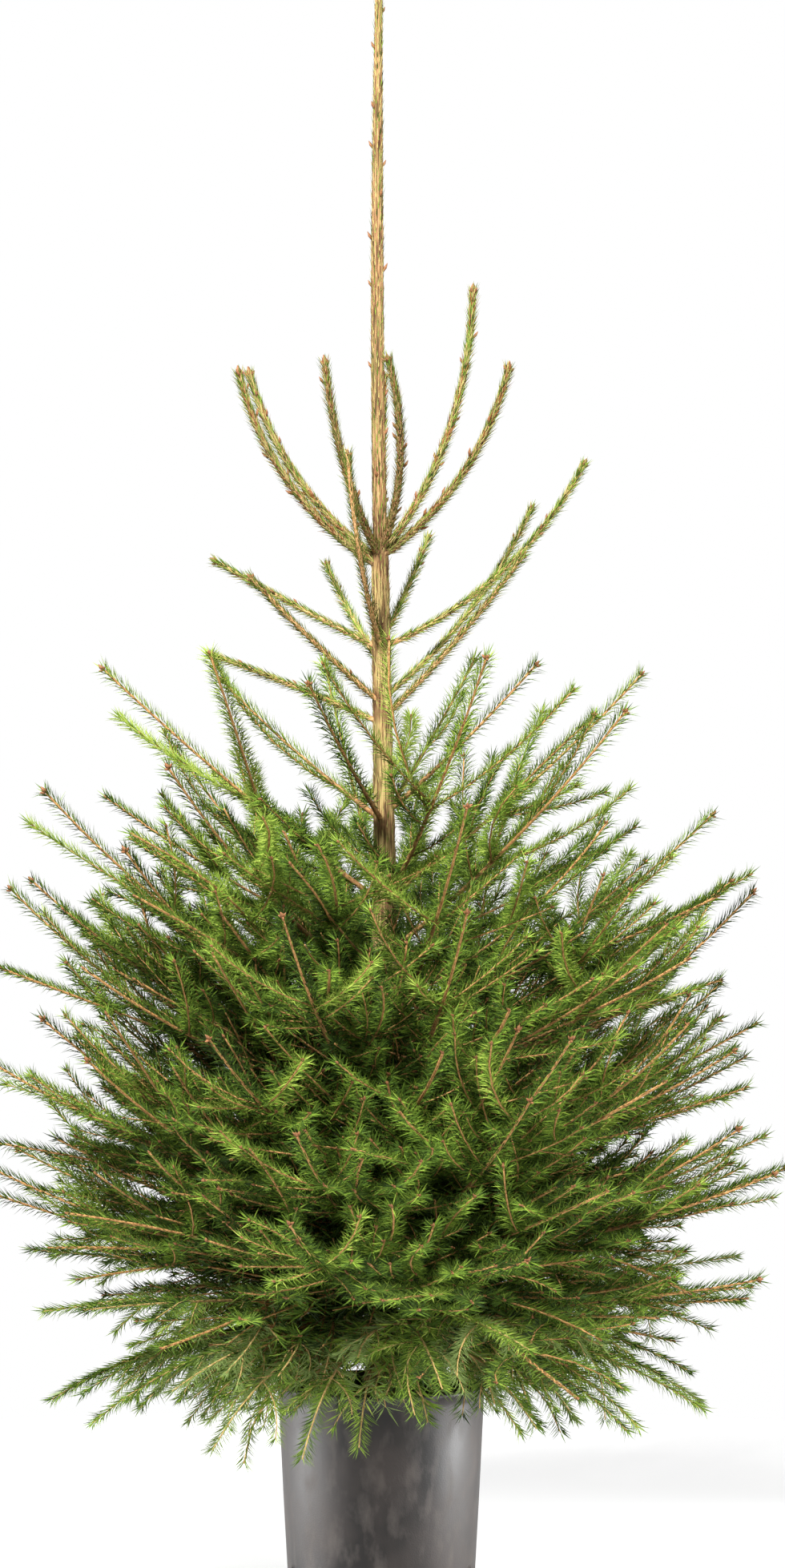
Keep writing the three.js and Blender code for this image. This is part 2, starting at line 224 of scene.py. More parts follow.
def bumped(shade, height, distance, strength=1.0):
    """A normal from a height in units of distance, in metres."""
    sockets = {"Height": height, "Distance": distance, "Strength": strength}
    return shade.node("Bump", sockets)


def ramp(shade, value, stops):
    """A colour for each value, from the colours seen at some places of a ramp."""
    colour = shade.node("ValToRGB", {"Fac": value})
    elements = colour.socket.node.color_ramp.elements
    while len(elements) < len(stops):
        elements.new(1.0)
    for element, (place, seen) in zip(elements, stops.items()):
        element.position = place
        element.color = paint(*seen)
    return colour


print("a middle grey for the shader:", round(paint(128, 128, 128)[0], 3))

# %% [markdown]
# ## The growth rule
# A spruce limb grows one stretch a year. Side shoots start where a year ends, strong ones first and
# weak ones further back, and each then grows for the years that are left. Twigs could be scattered at
# random, but then the ends of the limbs would not be plain needled shoots with buds, as they are on
# the real tree. So every limb here knows its years.

# %% Years of growth
YEARLY_GAIN = 1.18  # each year's stretch is this many times the last one


def year_end(year, age):
    """Share of a limb that was grown by the end of a year: (gain^year - 1) / (gain^age - 1)."""
    return (YEARLY_GAIN**year - 1) / (YEARLY_GAIN**age - 1)


def years_old(share, age):
    """Full years since the stretch at a share was grown, 0 on the last stretch."""
    year = np.log1p(share * (YEARLY_GAIN**age - 1)) / np.log(YEARLY_GAIN)
    return np.floor(np.clip(age - year, 0, age - 1e-6))


print("share of a 4-year limb grown by the end of each year:", year_end(np.arange(1, 5), 4).round(2))

# %% [markdown]
# ## Arcs
# A limb is slender and bends one way, so an arc of a circle stands in for its centre line. Each could
# be a curve object, but there are thousands. So one class keeps them all in arrays, and gives points
# and directions on any of them.

# %% Limbs as arcs, many at once
class Limbs:
    """Many limbs at once, each a circular arc.

    point(s) = start + length / turn * (sin(turn s) * along + (1 - cos(turn s)) * toward), with s
    from 0 at the root to 1 at the tip. age is in years, rise is the slope of the parent bough's tip.
    """

    FIELDS = ("start", "along", "toward", "length", "turn", "age", "rise")

    def __init__(self, **fields):
        for name in self.FIELDS:
            setattr(self, name, np.asarray(fields[name], float))
        self.along = unit(self.along)
        leaning = (self.toward * self.along).sum(axis=1, keepdims=True)
        self.toward = unit(self.toward - leaning * self.along)
        self.turn = np.maximum(self.turn, 1e-4)

    def __len__(self):
        return len(self.length)

    def take(self, which):
        """The chosen limbs."""
        return Limbs(**{name: getattr(self, name)[which] for name in self.FIELDS})

    def point(self, which, share):
        """Points at shares of the chosen limbs."""
        turn = self.turn[which]
        radius = (self.length[which] / turn)[:, None]
        angle = (turn * share)[:, None]
        bow = np.sin(angle) * self.along[which] + (1 - np.cos(angle)) * self.toward[which]
        return self.start[which] + radius * bow

    def tangent(self, which, share):
        """Directions there: cos(turn s) * along + sin(turn s) * toward."""
        return swing(self.turn[which] * share, self.along[which], self.toward[which])

    def at(self, share):
        """Points and directions at one share of every limb."""
        every, share = np.arange(len(self)), np.full(len(self), share)
        return self.point(every, share), self.tangent(every, share)


def join_limbs(groups):
    """Several sets of limbs as one."""
    return Limbs(**{n: np.concatenate([getattr(g, n) for g in groups]) for n in Limbs.FIELDS})


def ranks(count):
    """For counts per limb: which limb each item belongs to, and its number on that limb."""
    which = np.repeat(np.arange(len(count)), count)
    return which, np.arange(len(which)) - np.repeat(np.cumsum(count) - count, count)


print("kept for each limb:", ", ".join(Limbs.FIELDS))

# %% [markdown]
# ## The stem's line
# The stem is nearly straight, with a slight bow and a flare where it meets the compost. It could be
# a curve with a bevel, but the limbs have to know where it runs. So its centre and its radius are
# two functions of the height. The radius steps in above the whorl where the last leader starts.

# %% The stem's centre line and radius
SOIL_TOP, STEM_FOOT, STEM_TIP = 0.250, 0.2553, 2.040
BOW, BOW_TOP, BOW_HALF = 0.005, 0.700, 1.000
FLARE, FLARE_FALL = 0.009, 0.030
STEM_HEIGHTS = [0.255, 0.700, 1.000, 1.290, 1.320, 1.700, 1.880, 2.000, 2.025]
STEM_RADII = [0.0185, 0.0155, 0.0130, 0.0105, 0.0085, 0.0076, 0.0058, 0.0044, 0.0034]


def stem_centre(height):
    """Centre of the stem: x = bow * cos(pi * (height - top of the bow) / half a wave), y = 0."""
    height = np.asarray(height, float)
    bow = BOW * np.cos(np.pi * (height - BOW_TOP) / BOW_HALF)
    return np.stack([bow, np.zeros_like(bow), height], axis=-1)


def stem_radius(height):
    """Radius by straight lines between the named heights, with a flare that fades above the soil."""
    return np.interp(height, STEM_HEIGHTS, STEM_RADII) + FLARE * np.exp((STEM_FOOT - height) / FLARE_FALL)


print("stem radius at the foot and at the tip:", stem_radius(np.array([STEM_FOOT, STEM_TIP])).round(4))

# %% [markdown]
# ## Single shoots
# The leader stands in a candelabra of young shoots, with more single shoots below. They could come
# from a rule like the rest of the crown, but each of them shows. So they follow the photograph one by
# one: where each leaves the stem, how long it is and how it bends.

# %% Single shoots at the top
UP = np.array([0.0, 0.0, 1.0])
# azimuth, height, length, slope at the stem, slope at the tip, sideways sway of the bend
CROWN_SHOOTS = [
    (-15, 1.300, 0.290, 33, 76, 0), (42, 1.303, 0.385, 42, 88, 0), (88, 1.298, 0.260, 50, 84, 0),
    (163, 1.296, 0.298, 34, 74, 0), (192, 1.288, 0.305, 30, 76, 0), (240, 1.300, 0.272, 42, 78, 0),
    (300, 1.306, 0.265, 48, 88, 35),
]
UPPER_SHOOTS = [
    (178, 1.185, 0.235, 26, 30, 0), (8, 1.187, 0.352, 22, 62, 0), (255, 1.186, 0.285, 38, 74, 0),
    (118, 1.165, 0.200, 36, 46, 0), (62, 1.195, 0.185, 42, 52, 0), (212, 1.116, 0.245, 36, 42, 0),
    (30, 1.124, 0.330, 34, 62, 0), (-22, 1.098, 0.275, 42, 52, 0), (183, 1.092, 0.230, 24, 20, 0),
]


def limbs_from_stem(rows):
    """Arcs in an upright plane through the stem, whose slope changes evenly from root to tip."""
    table = np.array(rows, float)
    azimuth, low, high, sway = np.radians(table[:, [0, 3, 4, 5]]).T
    along = swing(low, around(azimuth), UP)
    upright = unit(UP - (along @ UP)[:, None] * along)
    sideways = np.cross(along, upright)
    bend = np.sign(high - low) * np.cos(sway)
    return Limbs(
        start=stem_centre(table[:, 1]),
        along=along,
        toward=bend[:, None] * upright + np.sin(sway)[:, None] * sideways,
        length=table[:, 2],
        turn=np.abs(high - low),
        age=table[:, 6],
        rise=np.degrees(high),
    )


crown_shoots = limbs_from_stem([(*row, 1) for row in CROWN_SHOOTS])
upper_shoots = limbs_from_stem([(*row, 1) for row in UPPER_SHOOTS])
print("single shoots:", len(crown_shoots), len(upper_shoots))

# %% [markdown]
# ## Tiers
# Below the single shoots, boughs leave the stem in tiers. Drawing each by hand would take days. So a
# tier is one row of sizes, and its boughs follow by a rule with small seeded changes, so that no two
# are alike. The plain solids use the same rule.

# %% Tiers of boughs
# height, first azimuth, length, slope at the stem, slope at the tip, years of growth
TIERS = [
    (0.966, -25, 0.290, 36, 44, 2),
    (0.862, 15, 0.455, 33, 46, 2),
    (0.692, 20, 0.540, 22, 44, 3),
    (0.585, -10, 0.565, 18, 44, 4),
    (0.478, 24, 0.565, 14, 36, 4),
    (0.400, -16, 0.540, 4, 24, 4),
    (0.355, 12, 0.455, 8, -6, 4),
    (0.322, -28, 0.375, 14, -46, 4),
]
PER_TIER = 4
JITTER = (9, 0.012, 0.06, 4, 4)  # of azimuth, height, length and both slopes
FIRST_SEED, TIER_SEED, LIMB_SEED = 7001, 131, 17
FACTOR, MODULUS = 16807, 2**31 - 1


def seeded_changes(seed):
    """A number from -size to size for each size in JITTER, each the last one times FACTOR, modulo MODULUS."""
    changes, state = [], seed * FACTOR % MODULUS
    for size in JITTER:
        state = state * FACTOR % MODULUS
        changes.append(size * (2 * state / MODULUS - 1))
    return changes


def tier_rows():
    """The limbs of every tier, with the seeded changes of the plain solids worked in."""
    rows = []
    for tier, (height, first, length, low, high, years) in enumerate(TIERS):
        for i in range(PER_TIER):
            seed = FIRST_SEED + TIER_SEED * tier + LIMB_SEED * i
            turn, lift, stretch, dip, tip = seeded_changes(seed)
            azimuth = first + 360 * i / PER_TIER + turn
            rows.append((azimuth, height + lift, length * (1 + stretch), low + dip, high + tip, 0, years))
    return rows


tier_boughs = tier_rows()
print("boughs in tiers:", len(tier_boughs))

# %% [markdown]
# ## Between the tiers
# Thinner boughs fill the gaps between the tiers, and soft sprays hang round the pot. Turned copies of
# the tiers would look like copies. So the thin boughs are means of the tiers above and below, with
# random changes, and the sprays are placed where the photograph shows them.

# %% Boughs between the tiers
PER_GAP = [4, 6, 8, 10, 11, 9]  # thinner boughs between the tiers
BETWEEN_REACH = 0.518  # the longest of them
BETWEEN_PLACE, BETWEEN_TURN = (0.3, 0.9), 12  # how far down the gap they start, how far they swing
BETWEEN_LENGTH, BETWEEN_SLOPE = (0.90, 1.02), 4  # their share of the tiers' length, spread of slopes
LOW_YEARS = 3
# sprays that hang round the pot: azimuth, height, length, slope at the stem, slope at the tip
LOW_SPRAYS = [
    (-106, 0.318, 0.372, 14, -46), (-97, 0.308, 0.258, 10, -52), (-77, 0.316, 0.262, 16, -46),
    (-140, 0.308, 0.290, 10, -36), (-48, 0.310, 0.300, 12, -38), (40, 0.310, 0.290, 10, -38),
    (90, 0.312, 0.310, 12, -40), (150, 0.310, 0.290, 10, -36), (-18, 0.340, 0.430, 8, -32),
    (4, 0.335, 0.420, 10, -36), (-34, 0.325, 0.380, 12, -40), (184, 0.340, 0.430, 8, -32),
    (200, 0.330, 0.400, 10, -38), (168, 0.335, 0.410, 10, -36),
]


def between_rows():
    """Thinner boughs between the tiers: a mean of the tiers above and below, turned by half a step."""
    rows = []
    for above, below, count in zip(TIERS[1:-1], TIERS[2:], PER_GAP):
        for i in range(count):
            part = rng.uniform(*BETWEEN_PLACE)
            height, _, length, low, high, years = (1 - part) * np.array(above) + part * np.array(below)
            azimuth = above[1] + 360 * (i + 0.5) / count + rng.uniform(-BETWEEN_TURN, BETWEEN_TURN)
            reach = min(length * rng.uniform(*BETWEEN_LENGTH), BETWEEN_REACH)
            low, high = low + rng.normal(0, BETWEEN_SLOPE), high + rng.normal(0, BETWEEN_SLOPE)
            rows.append((azimuth, height, reach, low, high, 0, round(years)))
    return rows


low_rows = [(*row, 0, LOW_YEARS) for row in LOW_SPRAYS]
boughs = limbs_from_stem(tier_boughs + between_rows() + low_rows)
print("boughs from the stem:", len(boughs))

# %% [markdown]
# ## Room for a shoot
# On the real tree no shoot grows through the pot or the stem. Blender could look for meshes that cross,
# but that is slow with so many twigs. A few points on each arc tell as much, by their height and their
# distance from the axis, and a shoot that would run into something is left out.

# %% Room for a shoot
POT_HEIGHT, POT_CLEAR = 0.270, 0.142
REACH = 0.500  # side shoots end within this distance of the axis
OPEN_AT, OPEN = [0.80, 0.92], [0.006, 0.060]  # how far they keep off the stem at two heights
RIM_CLEAR = 0.012  # how high side shoots pass over the pot


def has_room(limbs):
    """True for limbs that keep off the stem and out of the pot, and end within the crown's reach."""
    free = np.ones(len(limbs), bool)
    for share in (0.3, 0.5, 0.75, 1.0):
        point, _ = limbs.at(share)
        height = point[:, 2]
        to_axis = np.hypot(point[:, 0], point[:, 1])
        free &= to_axis > stem_radius(height) + np.interp(height, OPEN_AT, OPEN)
        free &= (to_axis > POT_CLEAR) | (height > POT_HEIGHT + RIM_CLEAR)
        free &= to_axis < REACH
    return free


print("room kept round the stem at 0.7 m and 1.0 m:", np.interp([0.7, 1.0], OPEN_AT, OPEN))

# %% [markdown]
# ## Side shoots
# Every bough carries side shoots at the end of each year's stretch, weaker ones behind them, and
# those carry shoots of their own. A particle system could scatter them, but it knows nothing of
# years. So each order of side shoots is worked out for all its parents at once.

# %% Side shoots of many parents
SIDE_ANGLE = 52.0  # between a strong side shoot and its parent
SIDE_LIFT = 0.20  # tilt out of the fan for each degree of the bough tip's slope
SIDE_TURN = np.radians(25.0)
SIDE_PULL = 0.6  # how much they bend up, by the rise of the bough's tip
STRONG, WEAK = 0.80, 0.45  # length over what the parent grew in the same years
SIDES_AT, SIDES = [0.88, 0.98], [1.20, 0.70]  # times that, at two heights
SHORTEST = 0.030
HANGING = 12.0  # boughs whose tips slope less than this carry soft hanging sprays
HANG_SIDES, HANG_TURN = 0.68, 2.0  # their side shoots are shorter and bend more
FAN_BACK, FREE_BACK = 0.08, (0.05, 0.85)  # years before a year's end, in and off the fan
FREE_SIZE, SIZE_RANGE = 0.85, (0.62, 1.15)
FAN_LIFT, FREE_LIFT = 16, 48  # most degrees that they stand out of the fan
ANGLE_SPREAD, BEND_SPREAD, TURN_RANGE = 6, 0.4, (0.3, 1.8)


def side_shoots(parents, strong, weak):
    """The side shoots of the given parents: strong ones at each year's end, weak ones before it.

    A side shoot of year j on a parent of age a starts at the end of that year or a little before
    it, is strong or weak times as long as the parent grew since then, and has age a - j. The first
    two strong ones make a fan with the parent. The others are shorter and stand a little out of it.
    """
    each_year = strong + weak
    which, rank = ranks((np.maximum(parents.age - 1, 0) * each_year).astype(int))
    total = len(which)
    year, place = rank // each_year + 1, rank % each_year
    vigorous = place < strong
    in_fan = place < 2
    age = parents.age[which]
    before = np.where(in_fan, rng.uniform(0, FAN_BACK, total), rng.uniform(*FREE_BACK, total))
    share = year_end(year - before, age)
    size = np.where(vigorous, STRONG, WEAK) * np.where(in_fan, 1, FREE_SIZE)
    size = size * rng.uniform(*SIZE_RANGE, total)
    size = size * np.interp(parents.start[which, 2], SIDES_AT, SIDES)
    length = size * (1 - year_end(year, age)) * parents.length[which]
    tangent = parents.tangent(which, share)
    sideways = unit(np.cross(tangent, UP))
    upright = np.cross(sideways, tangent)
    rise = parents.rise[which]
    lift = np.radians(SIDE_LIFT * rise + np.where(in_fan, FAN_LIFT, FREE_LIFT) * rng.uniform(-1, 1, total))
    roll = np.where(place % 2 == 0, lift, np.pi - lift)
    angle = np.radians(SIDE_ANGLE + rng.normal(0, ANGLE_SPREAD, total))
    outward = swing(roll, sideways, upright)
    hangs = rise < HANGING
    length *= np.where(hangs, HANG_SIDES, 1)
    pull = np.where(hangs, -1.0, SIDE_PULL * np.sin(np.radians(rise)))[:, None] * UP
    limbs = Limbs(
        start=parents.point(which, share),
        along=swing(angle, tangent, outward),
        toward=tangent + pull + rng.normal(0, BEND_SPREAD, (total, 3)),
        length=length,
        turn=SIDE_TURN * rng.uniform(*TURN_RANGE, total) * np.where(hangs, HANG_TURN, 1),
        age=age - year,
        rise=rise,
    )
    return limbs.take((length > SHORTEST) & has_room(limbs))


print("side shoots stand off by about", SIDE_ANGLE, "degrees")

# %% [markdown]
# ## Two orders
# Boughs carry side shoots, and those carry their own. A third order would be too short to see. Boughs
# that rise and boughs that hang are kept apart, because their twigs and needles differ.

# %% Two orders of side shoots
BARE_ABOVE, BARE_LENGTH = 0.84, 0.075  # above this, shoots shorter than this are left out
hangs = boughs.rise < HANGING
rising_boughs, hanging_boughs = boughs.take(~hangs), boughs.take(hangs)
first_rising = side_shoots(rising_boughs, strong=4, weak=3)
second_rising = side_shoots(first_rising, strong=2, weak=2)
rising = join_limbs([first_rising, second_rising])
rising = rising.take((rising.start[:, 2] < BARE_ABOVE) | (rising.length > BARE_LENGTH))
first_hanging = side_shoots(hanging_boughs, strong=2, weak=4)
second_hanging = side_shoots(first_hanging, strong=2, weak=2)
hanging = join_limbs([first_hanging, second_hanging])
print("side shoots:", len(first_rising), len(second_rising), len(first_hanging), len(second_hanging))

# %% [markdown]
# ## Bark
# Young spruce bark is straw to orange, ribbed by the feet of its needles, with dark cracks. A
# picture of bark would stretch along the stem, so its colours come from noise drawn out along the
# wood, with brown collars where the whorls leave it.

# %% Bark of the stem
WHORLS = [1.300, 1.187, 1.105, 0.966, 0.862]  # heights where shoots leave the upper stem
COLLAR_FALL = 70  # brown collars fade out within 1 / 70 m of their whorl


def bark(shade):
    """Straw fibres between dark cracks, tinged green, yellower below the leader, brown at the whorls."""
    fibre = stretched(shade, 700, (1, 1, 0.035), 5)
    stops = {0.41: (66, 42, 27), 0.49: (124, 89, 57), 0.57: (158, 122, 82), 0.70: (184, 152, 110)}
    colour = ramp(shade, fibre, stops)
    tinge = stretched(shade, 60, (1, 1, 0.25), 4)
    green = between(shade, tinge, 0.45, 0.7)
    colour = shade.mix(green * 0.4, colour, paint(128, 126, 70))
    place = shade.node("TexCoord", output=3)
    height = shade.node("SeparateXYZ", {"Vector": place}, output=2)
    old = between(shade, height, 1.34, 1.26)
    strip = between(shade, fibre, 0.47, 0.58)
    colour = shade.mix(old * strip * 0.65, colour, paint(178, 160, 102))
    collar = 0.0
    for whorl in WHORLS:
        near = 1 - COLLAR_FALL * shade.math("ABSOLUTE", height - whorl)
        collar = shade.math("MAXIMUM", collar, near)
    colour = shade.mix(collar * (0.3 + tinge), colour, paint(112, 82, 54))
    return {"Base Color": colour, "Normal": bumped(shade, fibre, 0.0010)}


BARK = finish("stem bark", 0.8, 0.2, bark)
print("bark collars at", WHORLS)

# %% [markdown]
# ## Twigs and buds
# Twigs are orange when young and turn brown and dull with the years, and buds wear papery scales. Each
# year's wood could have a material of its own, but one is enough for a kind of twig: it reads the
# years that every corner of the mesh carries.

# %% Finishes of twigs and buds
def twig(shade, low, high):
    """Young bark between two colours, mottled by needle feet, that turns darker with its years."""
    mottle = stretched(shade, 260, (1, 1, 1), 3)
    patch = between(shade, mottle, 0.35, 0.65)
    young_bark = shade.mix(patch, paint(*low), paint(*high))
    old_bark = shade.mix(patch, paint(74, 54, 34), paint(120, 90, 56))
    years = shade.node("Attribute", output=2, attribute_name="years")
    colour = shade.mix(years * 0.5, young_bark, old_bark)
    return {"Base Color": colour, "Normal": bumped(shade, mottle, 0.0008)}


def scales(shade):
    """Brown papery bud scales."""
    mottle = stretched(shade, 400, (1, 1, 1), 2)
    return {"Base Color": shade.mix(mottle, paint(88, 54, 34), paint(168, 116, 74))}


TWIG = finish("twig bark", 0.65, 0.25, twig, (140, 98, 56), (200, 152, 96))
UPPER_TWIG = finish("upper twig bark", 0.65, 0.25, twig, (170, 122, 76), (218, 172, 122))
HANGING_TWIG = finish("hanging twig bark", 0.65, 0.25, twig, (140, 112, 62), (186, 158, 102))
BUD = finish("bud scales", 0.6, 0.3, scales)
print("twigs and buds:", [kind.name for kind in (TWIG, UPPER_TWIG, HANGING_TWIG, BUD)])

# %% [markdown]
# ## Needle greens
# Needles run from a deep green in the shade to a fresh one in the light, and a few are dry. A pattern
# on a needle would never be seen at this size, so each green is one plain finish.

# %% Greens for the needles
def plain(_, colour):
    """One colour all over."""
    return {"Base Color": paint(*colour)}


GREENS = {
    "night": (34, 49, 17), "shade": (50, 71, 24), "deep": (68, 92, 31), "grass": (87, 112, 38),
    "leaf": (106, 132, 45), "spring": (126, 150, 56), "fresh": (150, 168, 74), "cool": (112, 130, 72),
    "olive": (132, 140, 70), "straw": (172, 160, 98), "dry": (136, 92, 48),
}
NEEDLES = {name: finish(f"needles {name}", 0.55, 0.1, plain, seen) for name, seen in GREENS.items()}
print("finishes:", len(bpy.data.materials))

# %% [markdown]
# ## Stem
# The stem could be a plain tube with a bump in its material, but real ribs catch the light. So it
# is a fine grid round the centre line whose radius is raised in upright ribs that wander and break
# off, as the feet of old needles do.

# %% The ribbed stem
STEM_ROWS, STEM_COLUMNS = 700, 52
STEM_END = 0.006  # height of the point that closes the stem
RIBS, RIB_SHARE, RIB_MEAN = 13, 0.11, 0.35  # their height is a share of the stem's radius
FOOT_STEP = 0.037  # between the feet of needles along a rib
SCALES, SCALES_BELOW, SCALES_OVER = 0.0012, 0.75, 0.4  # bark scales, and where they fade in


def ribbed_stem():
    """Corners at centre(z) + r(z, t) * (cos t, sin t, 0).

    r = radius * (oval + rib share * (ridge * foot - rib mean)) + scales. Ridge is a wave of so many
    ribs round the stem that wanders with the height. Foot is a wave along it, out of step from rib
    to rib. Scales are crossed waves low on the stem.
    """
    height = np.linspace(STEM_FOOT, STEM_TIP - STEM_END, STEM_ROWS)
    z, t = np.meshgrid(height, full_turn(STEM_COLUMNS), indexing="ij")
    wander = 1.3 * np.sin(z * 19 + 2 * np.cos(t)) + 0.6 * np.sin(z * 53 + 1)
    ridge = 0.5 + 0.5 * np.cos(RIBS * t + wander)
    foot = 0.7 + 0.3 * np.cos(2 * np.pi * z / FOOT_STEP + 5 * t)
    low = np.clip((SCALES_BELOW - z) / SCALES_OVER, 0, 1)
    scales = low * SCALES * (np.sin(11 * t + 60 * np.sin(23 * z)) * np.sin(z * 260 + 3 * np.sin(4 * t)))
    oval = 1 + 0.03 * np.cos(2 * t + z * 9) + 0.02 * np.cos(3 * t - z * 14)
    radius = stem_radius(z) * (oval + RIB_SHARE * (ridge * foot - RIB_MEAN)) + scales
    corners = (stem_centre(z) + around(t, radius)).reshape(-1, 3)
    tip = stem_centre(np.array([STEM_TIP]))
    top = (STEM_ROWS - 1) * STEM_COLUMNS + np.arange(STEM_COLUMNS)
    cone = np.stack([top, np.roll(top, -1), np.full(STEM_COLUMNS, len(corners))], axis=1)
    cut = np.arange(STEM_COLUMNS)[::-1][None, :]
    return np.concatenate([corners, tip]), [grid_faces(STEM_ROWS, STEM_COLUMNS), cone, cut]


stem_corners, stem_faces = ribbed_stem()
make_piece("stem", stem_corners, stem_faces, BARK, ["trunk"], smooth=True)

# %% [markdown]
# ## Tubes
# Every limb is a tapering rod of wood. Curves with a bevel could make them, but not with a knobbly
# outline like wood that has lost its needles. So each is a tube along its arc whose corners swell
# and shrink a little. All limbs of one kind share a number of rings and sides, so one array holds
# them all.

# %% Tubes along arcs
TIP_POINT = 1.2  # length of the point that closes a tip, in radii


def tubes(limbs, root, tip, rings, sides, knobs, profile):
    """Closed tubes: corners at point(s) + r(s) * (cos t * n + sin t * b), with n and b across the arc.

    r = tip + (root - tip) * profile(s), and each corner is knobs thicker or thinner at random. The
    root is closed by a flat face and the tip by a point. Also gives the years of every corner.
    """
    count = len(limbs)
    every = np.arange(count)
    which = np.repeat(every, rings)
    share = np.tile(np.linspace(0, 1, rings), count)
    centre = limbs.point(which, share)
    tangent = limbs.tangent(which, share)
    across = unit(np.cross(limbs.along, limbs.toward))[which]
    normal = np.cross(across, tangent)
    radius = tip[which] + (root - tip)[which] * profile(share)
    thick = radius[:, None] * (1 + knobs * rng.uniform(-1, 1, (len(which), sides)))
    round_way = swing(full_turn(sides), normal[:, None], across[:, None])
    corners = (centre[:, None] + thick[:, :, None] * round_way).reshape(-1, 3)
    end, way = limbs.at(1.0)
    ends = end + way * (TIP_POINT * tip[:, None])
    first = every[:, None] * rings * sides
    quads = (first[:, :, None] + grid_faces(rings, sides)[None]).reshape(-1, 4)
    rim = first + (rings - 1) * sides + np.arange(sides)
    point = np.repeat(count * rings * sides + every, sides)
    cones = np.stack([rim.ravel(), np.roll(rim, -1, axis=1).ravel(), point], axis=1)
    roots = first + np.arange(sides)[::-1]
    years = np.r_[np.repeat(years_old(share, limbs.age[which]), sides), np.zeros(count)]
    return np.concatenate([corners, ends]), [quads, cones, roots], years


print("the point at a tip is", TIP_POINT, "radii long")

# %% [markdown]
# ## Boughs
# A bough is thick only near the stem and then thins quickly. A straight cone would look swollen, so its
# taper is a square. The boughs stand in for the plain limbs and masses of the tiers.

# %% Boughs
def bough_taper(share):
    """A bough is thick only near the stem: (1 - share)^2."""
    return (1 - share) ** 2


FOLIAGE = [name for name in NODES if name.startswith("foliage")]
BOUGH_NODES = [name for name in NODES if name.startswith("bough")]

# the root's radius grows by the first number each year, and the tip has the second
for name, limbs, year, tip, material in (
    ("boughs", rising_boughs, 0.0019, 0.0014, TWIG),
    ("hanging_boughs", hanging_boughs, 0.0013, 0.0009, HANGING_TWIG),
):
    root, tip = year * limbs.age, np.full(len(limbs), tip)
    corners, faces, years = tubes(limbs, root, tip, 40, 7, 0.10, bough_taper)
    make_piece(name, corners, faces, material, BOUGH_NODES + FOLIAGE, True, years)

# %% [markdown]
# ## Twigs
# Twigs are thin and nearly even from root to tip, and the longer ones are thicker. They could be plain
# lines, but their orange undersides show between the needles. So they are tubes with few sides, and
# the older ones have more rings, because they are longer.

# %% Twigs
TWIG_TIP = 0.75  # radius at the tip as a share of that at the root


def straight_taper(share):
    """A twig thins evenly: 1 - share."""
    return 1 - share


def twig_radius(limbs):
    """Root radius of a twig: 0.7 mm, and 3.6 mm more for each metre of length."""
    return 0.0007 + 0.0036 * limbs.length


for name, limbs, rings, material in (
    ("young_twigs", rising.take(rising.age < 2), 5, TWIG),
    ("older_twigs", rising.take(rising.age >= 2), 9, TWIG),
    ("hanging_twigs", hanging, 6, HANGING_TWIG),
):
    root = twig_radius(limbs)
    corners, faces, years = tubes(limbs, root, TWIG_TIP * root, rings, 4, 0.16, straight_taper)
    make_piece(name, corners, faces, material, FOLIAGE, True, years)

# %% [markdown]
# ## Top shoots
# The shoots round the leader are stout, straw-coloured rods. The plain solids have them too, but
# smooth. So they are tubes again, with more rings and sides and a knobbly skin.

# %% Top shoots
SHOOT_TIP = 0.76  # radius at the tip as a share of that at the root
SHOOT_NODES = [name for name in NODES if "shoot" in name]
for name, limbs, thick, material in (
    ("crown_shoots", crown_shoots, 0.0050, BARK),
    ("upper_shoots", upper_shoots, 0.0034, UPPER_TWIG),
):
    root = np.full(len(limbs), thick)
    corners, faces, years = tubes(limbs, root, SHOOT_TIP * root, 50, 8, 0.14, straight_taper)
    make_piece(name, corners, faces, material, SHOOT_NODES, True, years)

# %% [markdown]
# ## Needles
# A spruce needle is a stiff peg about 16 mm long. A square rod would need eight triangles or more,
# and there are hundreds of thousands of needles, so each is a narrow diamond of two triangles,
# folded along its ridge.

# %% The shape of a needle
NEEDLE_FACES = np.array([[0, 1, 2], [0, 2, 3]])
NEEDLE_WIDTH, NEEDLE_FOLD = 0.0016, 0.3  # the sides of the ridge fall by this much of the width
WIDEST = 0.35  # share of a needle's length where it is widest


def needle_corners(base, axis, outward, angle, length, width):
    """Four corners of each needle: foot, right side, tip and left side, folded along foot and tip.

    The needle runs along cos(angle) * axis + sin(angle) * outward.
    """
    along = swing(angle, axis, outward)
    top = swing(angle, outward, -axis)
    half = np.cross(axis, outward) * (0.5 * width)[:, None]
    middle = base + along * (WIDEST * length)[:, None] - top * (NEEDLE_FOLD * width)[:, None]
    tip = base + along * length[:, None]
    return np.stack([base, middle + half, tip, middle - half], axis=1)


print("a needle is", 1000 * NEEDLE_WIDTH, "mm wide")

# %% [markdown]
# ## Needles in spirals
# Needles stand in a spiral round the twig, lean to its tip, and are combed away from its underside,
# where the orange bark shows. Instances on points could place them, but a mesh exports as it is. So
# the place, turn and lean of all needles are worked out at once.

